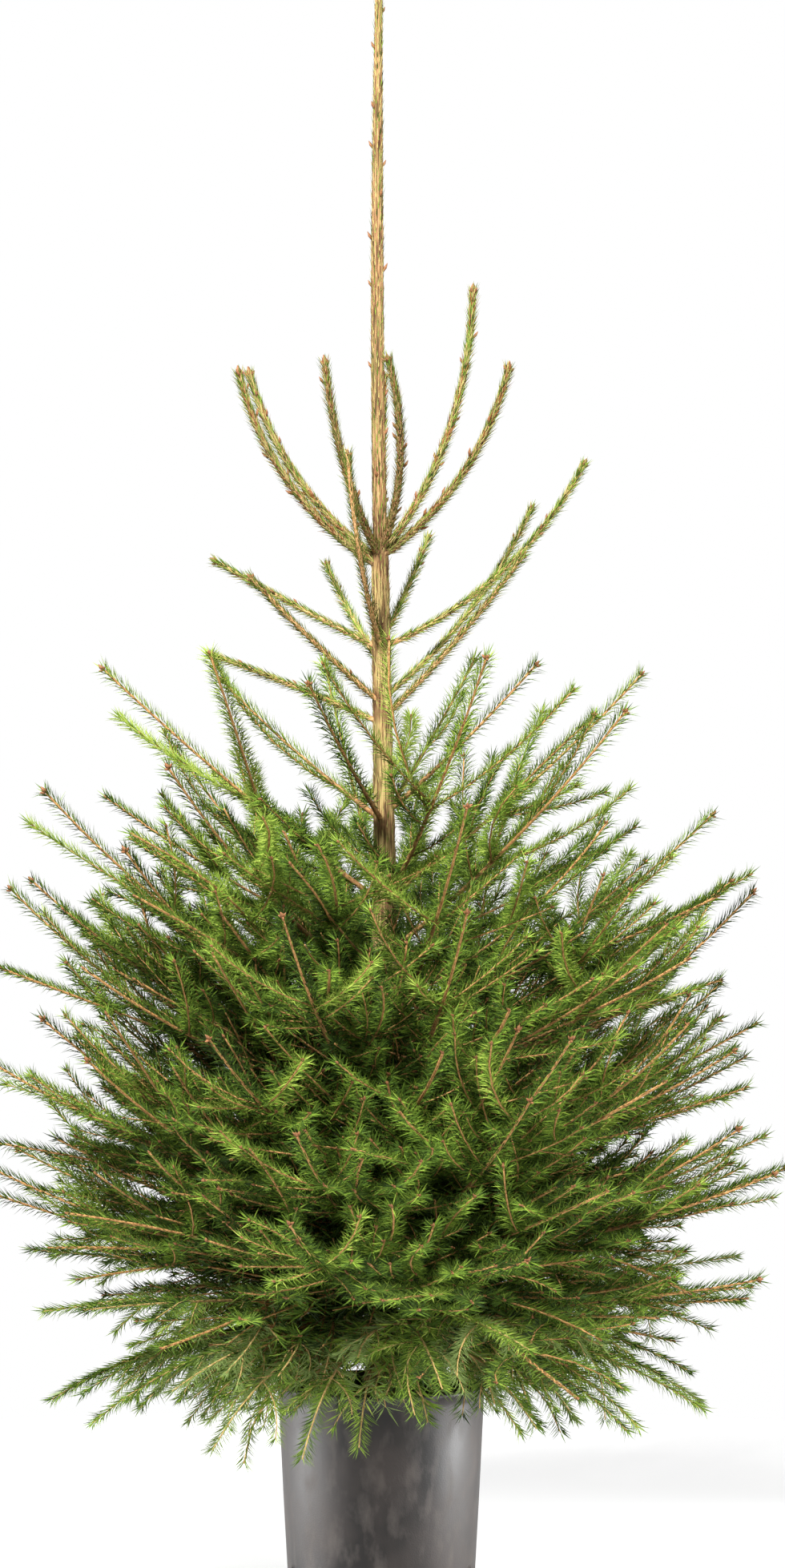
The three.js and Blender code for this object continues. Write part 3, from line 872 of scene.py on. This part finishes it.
# %% Needles in spirals
GOLDEN = np.pi * (3 - np.sqrt(5))
PRESSED = 0.45  # needles on the upper side lean this share as far as those underneath
OUTLINE_HEIGHTS = [0.20, 0.35, 0.60, 0.85, 1.10, 1.40]
OUTLINE_RADII = [0.30, 0.46, 0.48, 0.42, 0.20, 0.02]
DENSE_BELOW = 0.78
INSIDE, INSIDE_SHARE, INSIDE_GROW = 0.55, 0.25, 1.5  # deep inside, needles are few and large
KEPT = 0.85  # share of its needles that a stretch keeps each year
TUFT_FROM, TUFT_LEAN = 0.95, (0.25, 0.95)
STAGGER, TURN_SPREAD = 1.7, 0.12  # turn from limb to limb, and at random
LEAN_ROOT, LEAN_FADE, LEAN_SPREAD = 1.08, 0.22, 0.09  # needles lean closer towards the tip
NEEDLE_SIZES, SUNK = (0.8, 1.1), 0.8  # spread of lengths, and the feet's place as a share of the radius


def deep_inside(point):
    """True within the dark middle of the crown, where needles are few and hardly seen."""
    outline = np.interp(point[:, 2], OUTLINE_HEIGHTS, OUTLINE_RADII)
    return (np.hypot(point[:, 0], point[:, 1]) < INSIDE * outline) & (point[:, 2] < DENSE_BELOW)


def needles_on(limbs, radius, per_metre, angle, length, comb, bare, tuft, flat):
    """Needles on every limb: their corners, and the number of the limb that each stands on.

    Needle k stands at share (k + random) / count and turns by the golden angle from the last one.
    comb draws the turn, measured from the upper side, together: 1 is all round, less leaves the
    underside bare. flat draws it to the two sides, as on hanging sprays. Older stretches have lost
    some needles. A tuft closes round the tip.
    """
    angle = np.radians(angle)
    which, rank = ranks(np.round(limbs.length * per_metre + tuft).astype(int))
    total = len(which)
    count = np.maximum(np.round(limbs.length * per_metre), 1)[which]
    in_tuft = rank >= count
    spiral = (rank + rng.uniform(0, 1, total)) / count
    share = np.where(in_tuft, rng.uniform(TUFT_FROM, 1.0, total), spiral)
    lasting = KEPT ** years_old(share, limbs.age[which])
    inside = deep_inside(limbs.point(which, share))
    lasting *= np.where(inside, INSIDE_SHARE, 1)
    kept = (rng.uniform(0, 1, total) < lasting) & (share > bare)
    which, rank, share, in_tuft, inside = (row[kept] for row in (which, rank, share, in_tuft, inside))
    total = len(which)
    axis = limbs.tangent(which, share)
    sideways = np.cross(axis, UP)
    sideways /= np.maximum(np.linalg.norm(sideways, axis=1, keepdims=True), 1e-6)
    upright = np.cross(sideways, axis)
    turn = (rank * GOLDEN + which * STAGGER + np.pi) % (2 * np.pi) - np.pi
    turn = turn * np.where(in_tuft, 1, comb)
    turn += flat * (np.sign(turn) * np.pi / 2 - turn) + rng.normal(0, TURN_SPREAD, total)
    outward = swing(turn, upright, sideways)
    lean = angle * (PRESSED + (1 - PRESSED) * np.abs(np.sin(turn / 2))) * (LEAN_ROOT - LEAN_FADE * share)
    lean = np.where(in_tuft, angle * rng.uniform(*TUFT_LEAN, total), lean)
    lean = lean + rng.normal(0, LEAN_SPREAD, total)
    foot = SUNK * np.broadcast_to(radius, len(limbs))[which]
    base = limbs.point(which, share) + outward * foot[:, None]
    grow = np.where(inside, INSIDE_GROW, 1)
    size = length * rng.uniform(*NEEDLE_SIZES, total) * grow
    return needle_corners(base, axis, outward, lean, size, NEEDLE_WIDTH * grow), which


print("turn from needle to needle, in degrees:", round(float(np.degrees(GOLDEN)), 1))

# %% [markdown]
# ## Needles on every limb
# Each kind of limb wears its needles in its own way: full on rising twigs, flat on hanging sprays, and
# close along the bark on the top shoots. One row of numbers for each kind says so.

# %% Needles on every limb
density = np.interp(rising.start[:, 2], [0.70, 0.90], [1100, 1800])  # fuller in the light
# limbs, their radius, needles for each metre, lean in degrees, length, comb, bare, tuft, flat
NEEDLED = {
    "rising": (rising, twig_radius(rising), density, 76, 0.0190, 0.74, 0.0, 7, 0.2),
    "hanging": (hanging, twig_radius(hanging), 1150, 63, 0.0182, 1, 0.0, 6, 0.4),
    "boughs": (rising_boughs, 0.0030, 1300, 74, 0.0190, 0.80, 0.15, 10, 0.0),
    "hanging boughs": (hanging_boughs, 0.0015, 1300, 63, 0.0185, 1, 0.2, 8, 0.4),
    "crown": (crown_shoots, 0.0046, 2100, 30, 0.0150, 1, 0.03, 5, 0.0),
    "upper": (upper_shoots, 0.0034, 2200, 38, 0.0145, 0.94, 0.06, 8, 0.0),
}
needles = {name: needles_on(*row) for name, row in NEEDLED.items()}
print("needles:", {name: len(which) for name, (_, which) in needles.items()})

# %% [markdown]
# ## Needles on the stem
# The leader and the upper stem keep needles too, pressed along the bark. The stem is not one of the
# arcs, so they get a spiral of their own round its centre line.

# %% Needles on the stem
STEM_TURN, STEM_LEAN, STEM_SUNK = 0.1, 0.05, 0.96  # spread of turn and lean, and the feet's place


def stem_needles(low, high, per_metre, angle, length):
    """Needles all round the stem between two heights, leaning up along it."""
    count = int((high - low) * per_metre)
    z = low + (high - low) * (np.arange(count) + rng.uniform(0, 1, count)) / count
    turn = np.arange(count) * GOLDEN + rng.normal(0, STEM_TURN, count)
    outward = around(turn)
    base = stem_centre(z) + outward * (STEM_SUNK * stem_radius(z))[:, None]
    lean = np.radians(angle) + rng.normal(0, STEM_LEAN, count)
    axis = np.broadcast_to(UP, base.shape)
    size = length * rng.uniform(*NEEDLE_SIZES, count)
    return needle_corners(base, axis, outward, lean, size, np.full(count, NEEDLE_WIDTH))


leader_needles = stem_needles(1.31, 2.030, 900, 11, 0.0135)
upper_stem_needles = stem_needles(0.80, 1.31, 700, 18, 0.0140)
print("needles on the stem:", len(leader_needles) + len(upper_stem_needles))

# %% [markdown]
# ## Greens
# Outer and upper shoots are fresh green, inner ones deeper, the drooping sprays by the pot cooler,
# and a few near the stem are dry. The darker greens deep in the crown and low down are partly painted
# shade, and the lighter ones out and up are partly painted light. A colour attribute could say so, but
# each mesh here takes one plain finish. So each shoot is dealt a green, its needles vary by a tone or
# two, and the needles of one green become a mesh.

# %% Deal out the greens
TONES = list(GREENS)[:7]  # from dark to light
# tones by the way out and the height: darker inside and low down is partly painted shade, lighter out and up
# partly painted light
OUT_TONES, HIGH_TONES, LOWEST_TONE, TONE_SPREAD = 4.6, 1.4, 0.4, 0.45
HIGH_FROM, HIGH_OVER = 0.7, 0.3  # heights over which the greens grow fresher
DRY_WITHIN = 0.45  # dry sprays stay within this share of the way out


def vary(greens):
    """One needle in three keeps its spray's green. The others are one or two tones lighter or darker."""
    names, pick = np.unique(greens, return_inverse=True)
    tone = np.array([TONES.index(name) if name in TONES else -1 for name in names])[pick]
    step = rng.choice([-2, -1, 0, 0, 1, 2], len(greens))
    moved = np.array(TONES)[np.clip(tone + step, 0, len(TONES) - 1)]
    return np.where(tone < 0, greens, moved)


def reach_out(limbs):
    """How far out in the crown a limb's middle lies, 0 at the stem to 1 at the outline, and its height."""
    middle, _ = limbs.at(0.5)
    outline = np.interp(middle[:, 2], OUTLINE_HEIGHTS, OUTLINE_RADII)
    return np.clip(np.hypot(middle[:, 0], middle[:, 1]) / outline, 0, 1), middle[:, 2]


def rising_greens(limbs):
    """Greens lighter further out and higher up, partly painted light and shade: a sum of both is the place in
    TONES.
    """
    out, height = reach_out(limbs)
    high = np.clip((height - HIGH_FROM) / HIGH_OVER, 0, 1)
    tone = OUT_TONES * out + HIGH_TONES * high - LOWEST_TONE + rng.normal(0, TONE_SPREAD, len(limbs))
    return np.array(TONES)[np.clip(np.round(tone), 0, len(TONES) - 1).astype(int)]


def hanging_greens(limbs, dead):
    """Paler and cooler greens, drawn by weight, with some of the sprays near the stem dry."""
    out, height = reach_out(limbs)
    dry = np.where((out < DRY_WITHIN) & (height > POT_HEIGHT), dead, 0.0)
    weights = {"leaf": 0.30, "grass": 0.35, "deep": 0.20, "cool": 0.35, "dry": dry}
    table = np.stack(np.broadcast_arrays(*weights.values()))
    steps = np.cumsum(table / table.sum(axis=0), axis=0)
    pick = (rng.uniform(0, 1, len(limbs)) > steps).sum(axis=0)
    return np.array(list(weights))[np.minimum(pick, len(weights) - 1)]


print("tones from dark to light:", TONES)

# %% [markdown]
# ## A mesh for each green
# All needles are now dealt their greens and gathered by colour. A mesh for each shoot would make
# thousands of objects. So there is one mesh for each green, or two where a green has very many.

# %% A mesh for each green
by_limb = {
    "rising": rising_greens(rising),
    "hanging": hanging_greens(hanging, dead=0.03),
    "boughs": rising_greens(rising_boughs),
    "hanging boughs": hanging_greens(hanging_boughs, dead=0.0),
}
sprays = [(needles[name][0], greens[needles[name][1]]) for name, greens in by_limb.items()]
for corners, weights in (
    (needles["crown"][0], {"olive": 0.35, "grass": 0.3, "dry": 0.15, "straw": 0.2}),
    (needles["upper"][0], {"olive": 0.3, "leaf": 0.25, "grass": 0.25, "straw": 0.2}),
    (leader_needles, {"olive": 0.3, "grass": 0.3, "straw": 0.4}),
    (upper_stem_needles, {"olive": 0.3, "leaf": 0.2, "straw": 0.5}),
):
    sprays.append((corners, rng.choice(list(weights), len(corners), p=list(weights.values()))))
MOST_NEEDLES = 90000  # in one piece
all_corners = np.concatenate([corners for corners, _ in sprays])
all_greens = vary(np.concatenate([greens for _, greens in sprays]))
for green in GREENS:
    chosen = all_corners[all_greens == green]
    for part, start in enumerate(range(0, len(chosen), MOST_NEEDLES)):
        some = chosen[start : start + MOST_NEEDLES]
        block = (np.arange(len(some))[:, None, None] * 4 + NEEDLE_FACES).reshape(-1, 3)
        name = f"needles_{green}_{part + 1}"
        make_piece(name, some, [block], NEEDLES[green], FOLIAGE + SHOOT_NODES)
print("needles in all:", len(all_corners))

# %% [markdown]
# ## Buds
# Each shoot ends in a small cluster of scaly brown buds, and single ones stand like thorns along
# the top shoots. Copies of one modelled bud would do, but a short fat tube that swells and comes to
# a point is enough at this size, and the tubes are there already.

# %% Buds at the tips
BUD_LEAN, BUD_SCALE, MIDDLE_SCALE = 0.75, 0.85, 1.2  # buds round the tip, and the one straight on
BUD_SINK, BUD_OUT, BUD_TURN, BUD_SIZES = 0.002, 0.0016, 0.2, (0.75, 1.1)
THORN_LEAN, THORN_TURN, THORN_SIZES, THORN_AT = np.radians(38), 0.3, (0.8, 1.2), (0.2, 0.95)
THORN_SUNK = 0.9  # where the leader's buds start, as a share of its radius


def bud_profile(share):
    """Half the width of a bud along its length: sin(pi * (0.22 + 0.76 * share)), a spindle."""
    return np.sin(np.pi * (0.22 + 0.76 * share))


def bud_arcs(start, axis, out, lean, toward, length, turn):
    """Buds as short arcs that lean outward from an axis."""
    along = swing(lean, axis, out)
    turn, ones = np.full(len(start), turn), np.ones(len(start))
    return Limbs(start=start, along=along, toward=toward, length=length, turn=turn, age=ones, rise=ones)


def thorns(start, axis, out, size):
    """Single buds that lean off their shoot."""
    length = size * rng.uniform(*THORN_SIZES, len(start))
    return bud_arcs(start, axis, out, THORN_LEAN, axis - 0.5 * out, length, THORN_TURN)


def bud_cluster(limbs, size, ring):
    """A bud straight on at each tip and a ring of them round it, leaning out."""
    tip, axis = limbs.at(1.0)
    sideways = unit(np.cross(axis, UP + np.array([0.05, 0.02, 0])))
    upright = np.cross(sideways, axis)
    groups = []
    for k in range(ring + 1):
        turn = 2 * np.pi * k / ring + rng.uniform(0, 1, len(limbs))
        out = swing(turn, sideways, upright)
        lean, scale = (0.0, MIDDLE_SCALE) if k == ring else (BUD_LEAN, BUD_SCALE)
        start = tip - axis * BUD_SINK + out * (BUD_OUT * lean)
        length = size * scale * rng.uniform(*BUD_SIZES, len(limbs))
        groups.append(bud_arcs(start, axis, out, lean, axis + out, length, BUD_TURN))
    return join_limbs(groups)


def side_buds(limbs, radius, per_limb, size):
    """Thorny buds along each limb, at random places and turns, leaning to its tip."""
    which, _ = ranks(np.full(len(limbs), per_limb))
    share = rng.uniform(*THORN_AT, len(which))
    axis = limbs.tangent(which, share)
    out = unit(np.cross(axis, rng.normal(0, 1, axis.shape)))
    return thorns(limbs.point(which, share) + radius * out, axis, out, size)


def leader_buds(rows, size):
    """Thorny buds on the leader at the given heights and azimuths."""
    height, azimuth = np.array(rows, float).T
    out = around(np.radians(azimuth))
    start = stem_centre(height) + out * (THORN_SUNK * stem_radius(height))[:, None]
    return thorns(start, np.broadcast_to(UP, out.shape), out, size)


print("half width of a bud at its root, middle and tip:", bud_profile(np.array([0, 0.5, 1])).round(2))

# %% [markdown]
# ## Buds on the tree
# The leader's buds can be told apart in the photograph, so they are placed one by one. The others could
# be too, but nobody would tell: they sit at the tips and stand at random along the top shoots.

# %% Buds on the tree
SINGLE_WIDTH, CLUSTER_WIDTH, BUD_POINT = 0.20, 0.30, 0.0003  # widths as shares of the length
# height and azimuth of the buds on the leader
LEADER_BUDS = [
    (1.980, 30), (1.935, 200), (1.900, 120), (1.860, -140), (1.811, 180),
    (1.788, 5), (1.750, -60), (1.697, 185), (1.657, -5), (1.638, 175),
    (1.580, 90), (1.536, 180), (1.501, 0), (1.453, -15), (1.400, -110),
]
outer = rising.take((rising.length > 0.06) & (reach_out(rising)[0] > 0.45))
# limbs, radius, buds on each and their length
ALONG = [(crown_shoots, 0.0046, 7, 0.0095), (upper_shoots, 0.0034, 4, 0.0070)]
# limbs, length of the buds and how many are in the ring
TIPS = [(outer, 0.0052, 1), (rising_boughs, 0.0075, 3), (crown_shoots, 0.0105, 4), (upper_shoots, 0.0085, 3)]
single_buds = join_limbs([leader_buds(LEADER_BUDS, 0.0110)] + [side_buds(*row) for row in ALONG])
tip_buds = join_limbs([bud_cluster(*row) for row in TIPS])
buds = join_limbs([single_buds, tip_buds])
width = buds.length * np.repeat([SINGLE_WIDTH, CLUSTER_WIDTH], [len(single_buds), len(tip_buds)])
corners, faces, _ = tubes(buds, width, np.full(len(buds), BUD_POINT), 3, 5, 0.05, bud_profile)
make_piece("buds", corners, faces, BUD, FOLIAGE + SHOOT_NODES, smooth=True)

# %% [markdown]
# ## Pot plastic
# The pot is moulded from dark grey plastic, scuffed and dusty from the nursery. A picture of dust would
# have to be wrapped round it. Clouds of noise need no wrapping, and give the tone, the dust and the
# gloss.

# %% Pot plastic
def plastic(shade):
    """Dark satin grey, clouded, with a patchy bloom of dust."""
    cloud = stretched(shade, 15, (1, 1, 0.6), 9)
    patch = between(shade, cloud, 0.4, 0.64)
    dust = between(shade, stretched(shade, 55, (1, 1, 0.5), 9), 0.5, 0.72)
    grain = stretched(shade, 500, (1, 1, 1), 2)
    colour = shade.mix(patch, paint(12, 8, 6), paint(42, 36, 33))
    return {
        "Base Color": shade.mix(dust * 0.25, colour, paint(104, 97, 92)),
        "Roughness": 0.42 + patch * 0.16 + dust * 0.16,
        "Normal": bumped(shade, grain * 0.3 + cloud, 0.0010, 0.5),
    }


POT = finish("pot plastic", 0.42, 0.35, plastic)
print("pot finish:", POT.name)

# %% [markdown]
# ## The pot's profile
# The pot is a tapering wall with a rounded foot and a rolled rim. A curve could be drawn and spun. A
# profile that is worked out instead has its rows just where the drainage slots need their edges.

# %% The pot's profile
FOOT_RADIUS, FOOT_ROUND, LIP_RADIUS = 0.115, 0.003, 0.129
RIM_RADIUS, RIM_HEIGHT, RIM_GAP = 0.1325, 0.008, 0.012  # the wall's rows end this far below the rim
WALL, FLOOR, UNDER_RING, DENT = 0.0026, 0.004, 0.06, 0.0008
SLOTS, SLOT_WIDTH, SLOT_LOW, SLOT_HIGH = 8, 0.012, 0.012, 0.045
SLOT_DEPTH, SLOT_STEP, SLOT_TURN = 0.8, 4e-4, 0.004  # depth as a share of the wall, width of the sides
FOOT_ROWS, WALL_ROWS, RIM_ROWS, INSIDE_ROWS, POT_COLUMNS = 5, 40, 14, 12, 120


def pot_radius(height):
    """The wall's outer radius, straight from foot to lip."""
    return FOOT_RADIUS + (LIP_RADIUS - FOOT_RADIUS) * height / POT_HEIGHT


def pot_profile():
    """Radius and height from a ring on the underside, up the wall, over the rim and down inside."""
    rim_low = POT_HEIGHT - RIM_HEIGHT
    bead = np.linspace(-0.45 * np.pi, 0.75 * np.pi, RIM_ROWS)
    bead_radius = RIM_HEIGHT / 2
    rim_r = RIM_RADIUS - bead_radius + bead_radius * np.cos(bead)
    rim_z = POT_HEIGHT - bead_radius + bead_radius * np.sin(bead)
    foot_turn = np.linspace(-0.5 * np.pi, 0, FOOT_ROWS)
    foot_r = FOOT_RADIUS - FOOT_ROUND + FOOT_ROUND * np.cos(foot_turn)
    foot_z = FOOT_ROUND + FOOT_ROUND * np.sin(foot_turn)
    plain_z = np.linspace(2 * FOOT_ROUND, rim_low - RIM_GAP, WALL_ROWS)
    slot_z = [SLOT_LOW - SLOT_STEP, SLOT_LOW, SLOT_HIGH, SLOT_HIGH + SLOT_STEP]
    wall_z = np.unique(np.r_[plain_z, slot_z])
    inner_z = np.linspace(rim_low, FLOOR, INSIDE_ROWS)
    radius = np.r_[UNDER_RING, foot_r, pot_radius(wall_z), rim_r, pot_radius(inner_z) - WALL]
    height = np.r_[0, foot_z, wall_z, rim_z, inner_z]
    return radius, height


print("rows of the profile:", len(pot_profile()[0]))

# %% [markdown]
# ## The turned pot
# Drainage slots stand round the pot's foot. Cutting them with a modifier would leave ragged faces. So
# the profile is turned round the axis with extra columns at the edges of the slots, and they are
# pressed in with straight sides.

# %% The turned pot
def turned_pot():
    """The profile carried round the axis, pressed in at the slots and dented a little out of round."""
    radius, height = pot_profile()
    slot_middle = 2 * np.pi * (np.arange(SLOTS) + 0.5) / SLOTS
    half = 0.5 * SLOT_WIDTH / FOOT_RADIUS
    edges = np.array([-half - SLOT_TURN, -half, 0, half, half + SLOT_TURN])
    turn = np.unique(np.r_[full_turn(POT_COLUMNS), (slot_middle[:, None] + edges).ravel()])
    z, t = np.meshgrid(height, turn, indexing="ij")
    r = np.broadcast_to(radius[:, None], z.shape)
    off = np.abs((t - slot_middle[0] + np.pi / SLOTS) % (2 * np.pi / SLOTS) - np.pi / SLOTS)
    row = np.arange(len(radius))[:, None]
    outside = (row > FOOT_ROWS) & (row < len(radius) - INSIDE_ROWS)
    pressed = outside & (off <= half + 1e-6) & (z >= SLOT_LOW - 1e-6) & (z <= SLOT_HIGH + 1e-6)
    r = r - np.where(pressed, SLOT_DEPTH * WALL, 0)
    dent = DENT * np.cos(2 * t + 1) * np.sin(np.pi * z / POT_HEIGHT)
    r = np.where(r > UNDER_RING, r + dent, r)
    return around(t, r, z), closed_grid(*z.shape)


corners, faces = turned_pot()
make_piece("pot_shell", corners, faces, POT, ["pot"], smooth=True)

# %% [markdown]
# ## Compost
# The pot is filled to a little below its rim with dark crumbly compost, raised round the stem.
# Loose crumbs could be scattered, but the low boughs hide most of it. So it is one turned bed with
# lumps from crossed waves and random crumbs.

# %% Compost
SOIL_RINGS, SOIL_COLUMNS = 90, 220
SOIL_GAP, SOIL_HOLE, SOIL_EDGE, SOIL_DEPTH = 0.0008, 0.004, 0.002, 0.03
MOUND, MOUND_WIDTH, LUMPS, CRUMBS = 0.005, 0.05, 0.0018, 0.0009


def crumbs(shade):
    """Dark moist compost with paler bits of bark and fibre."""
    crumb = stretched(shade, 180, (1, 1, 1), 6)
    colour = ramp(shade, crumb, {0.35: (30, 20, 14), 0.55: (64, 44, 30), 0.72: (116, 84, 56)})
    return {"Base Color": colour, "Normal": bumped(shade, crumb, 0.004)}


def compost():
    """A turned bed whose top is at z = top + mound * exp(-(r / width)^2) + lumps + crumbs."""
    inner = pot_radius(SOIL_TOP) - WALL - SOIL_GAP
    turn = full_turn(SOIL_COLUMNS)
    r, t = np.meshgrid(np.linspace(SOIL_HOLE, inner, SOIL_RINGS)[::-1], turn, indexing="ij")
    rough = rng.normal(0, 1, r.shape)
    rough = (rough + np.roll(rough, 1, 0) + np.roll(rough, 1, 1) + np.roll(rough, -1, 1)) / 2
    x, y = r * np.cos(t), r * np.sin(t)
    lumps = np.sin(x * 140 + 2 * np.sin(y * 90)) * np.sin(y * 150 + 2 * np.sin(x * 110))
    z = SOIL_TOP + MOUND * np.exp(-((r / MOUND_WIDTH) ** 2)) + LUMPS * lumps + CRUMBS * rough
    z = np.where(r > inner - SOIL_EDGE, SOIL_TOP - SOIL_EDGE, z)
    skirt = around(turn, inner, SOIL_TOP - SOIL_DEPTH)
    corners = np.concatenate([skirt[None], around(t, r, z)])
    return corners, closed_grid(SOIL_RINGS + 1, SOIL_COLUMNS)


corners, faces = compost()
material = finish("compost", 0.95, 0.2, crumbs)
make_piece("compost", corners, faces, material, ["soil"], smooth=True)

# %% [markdown]
# ## Studio
# The tree stands on white. One bright surround would light it evenly and flatten it. So the floor is
# plain pale paper, and the surround is dim in front of the tree and shows white to the camera.

# %% Floor and surround
FLOOR_REACH, FLOOR_DROP, FLOOR_COLUMNS = 1.8, 0.0005, 96
FLOOR_GREY, FLOOR_GLOW = 0.45, 0.54
FRONT_LIGHT, BACK_LIGHT = 0.04, 0.8
scene = bpy.context.scene
scene.view_settings.view_transform = "Standard"


def paper(_):
    """Plain pale paper that glows a little, as paper lit from below does."""
    grey = (FLOOR_GREY, FLOOR_GREY, FLOOR_GREY, 1)
    return {"Base Color": grey, "Emission Color": (1, 1, 1, 1), "Emission Strength": FLOOR_GLOW}


def floor_disc():
    """A flat pale disc under the pot."""
    corners = around(full_turn(FLOOR_COLUMNS), FLOOR_REACH, -FLOOR_DROP)
    mesh = bpy.data.meshes.new("floor")
    mesh.from_pydata(corners.tolist(), [], [list(range(FLOOR_COLUMNS))])
    mesh.materials.append(finish("floor paper", 0.9, 0.1, paper))
    floor = bpy.data.objects.new("floor", mesh)
    scene.collection.objects.link(floor)


def white_surround():
    """White paper behind and beside the tree, dim in front of it, and white wherever the camera sees it."""
    world = bpy.data.worlds.new("white surround")
    world.use_nodes = True
    world.node_tree.nodes.clear()
    shade = Shade(world.node_tree)
    way = shade.node("TexCoord", output=0)
    depth = shade.node("SeparateXYZ", {"Vector": way}, output=1)
    light = between(shade, depth, -0.9, 0.1, FRONT_LIGHT, BACK_LIGHT)
    seen = shade.node("LightPath", output=0)
    strength = shade.math("MAXIMUM", light, seen)
    surround = shade.node("Background", {"Color": (1, 1, 1, 1), "Strength": strength})
    shade.node("OutputWorld", {"Surface": surround})
    scene.world = world


floor_disc()
white_surround()
print("world:", scene.world.name)

# %% [markdown]
# ## Lamps
# The crown is bright above and dark inside, and the pot has pale edges. A sun would give hard shadows.
# So a soft key lamp and a weaker fill light the crown, and two low strip lamps light the pot's sides.

# %% Lamps
# place, aim, width, height, watts and spread in degrees
LAMPS = {
    "key lamp": ((-1.1, -2.9, 3.8), (0, 0, 0.9), 0.5, 0.5, 425, 180),
    "fill lamp": ((2.4, -2.6, 1.6), (0, 0, 0.6), 1.2, 1.2, 95, 180),
    "left strip lamp": ((-0.8, 0.2, 0.16), (0, 0.2, 0.16), 1.2, 0.3, 3.8, 60),
    "right strip lamp": ((0.8, 0.2, 0.16), (0, 0.2, 0.16), 1.2, 0.3, 3.8, 60),
}


def soft_lamp(name, place, aim, width, height, power, spread):
    """A soft box that faces a point, its light kept to a cone of spread degrees as by a grid."""
    lamp = bpy.data.lights.new(name, "AREA")
    lamp.shape = "RECTANGLE"
    lamp.energy = power
    lamp.size = width
    lamp.size_y = height
    lamp.spread = np.radians(spread)
    holder = bpy.data.objects.new(name, lamp)
    holder.location = place
    holder.visible_camera = False
    holder.rotation_euler = (Vector(aim) - Vector(place)).to_track_quat("-Z", "Y").to_euler()
    scene.collection.objects.link(holder)


for name, row in LAMPS.items():
    soft_lamp(name, *row)
print("lamps:", len(LAMPS))

# %% [markdown]
# ## Camera
# The pot's rim looks only a little open, so the camera is level with the middle of the tree and far
# back. Its lens could be found by trial, but it follows from the distance and the photograph's scale.

# %% Camera
FRAME_HEIGHT, SENSOR = 1958, 36.0  # height in pixels, and the sensor's long side in millimetres
DISTANCE, METRES_PER_PIXEL = 6.0, 0.001
EYE_RIGHT, EYE_HEIGHT = 0.014, 1.017
camera = bpy.data.cameras.new("camera")
camera.sensor_width = SENSOR
camera.lens = SENSOR * DISTANCE / (FRAME_HEIGHT * METRES_PER_PIXEL)
eye = bpy.data.objects.new("camera", camera)
eye.location = (EYE_RIGHT, -DISTANCE, EYE_HEIGHT)
eye.rotation_euler = (np.pi / 2, 0, 0)
scene.collection.objects.link(eye)
scene.camera = eye
print("lens:", round(camera.lens, 1), "mm")

# %% [markdown]
# The dressed tree may stand out of the plain solids only a little.
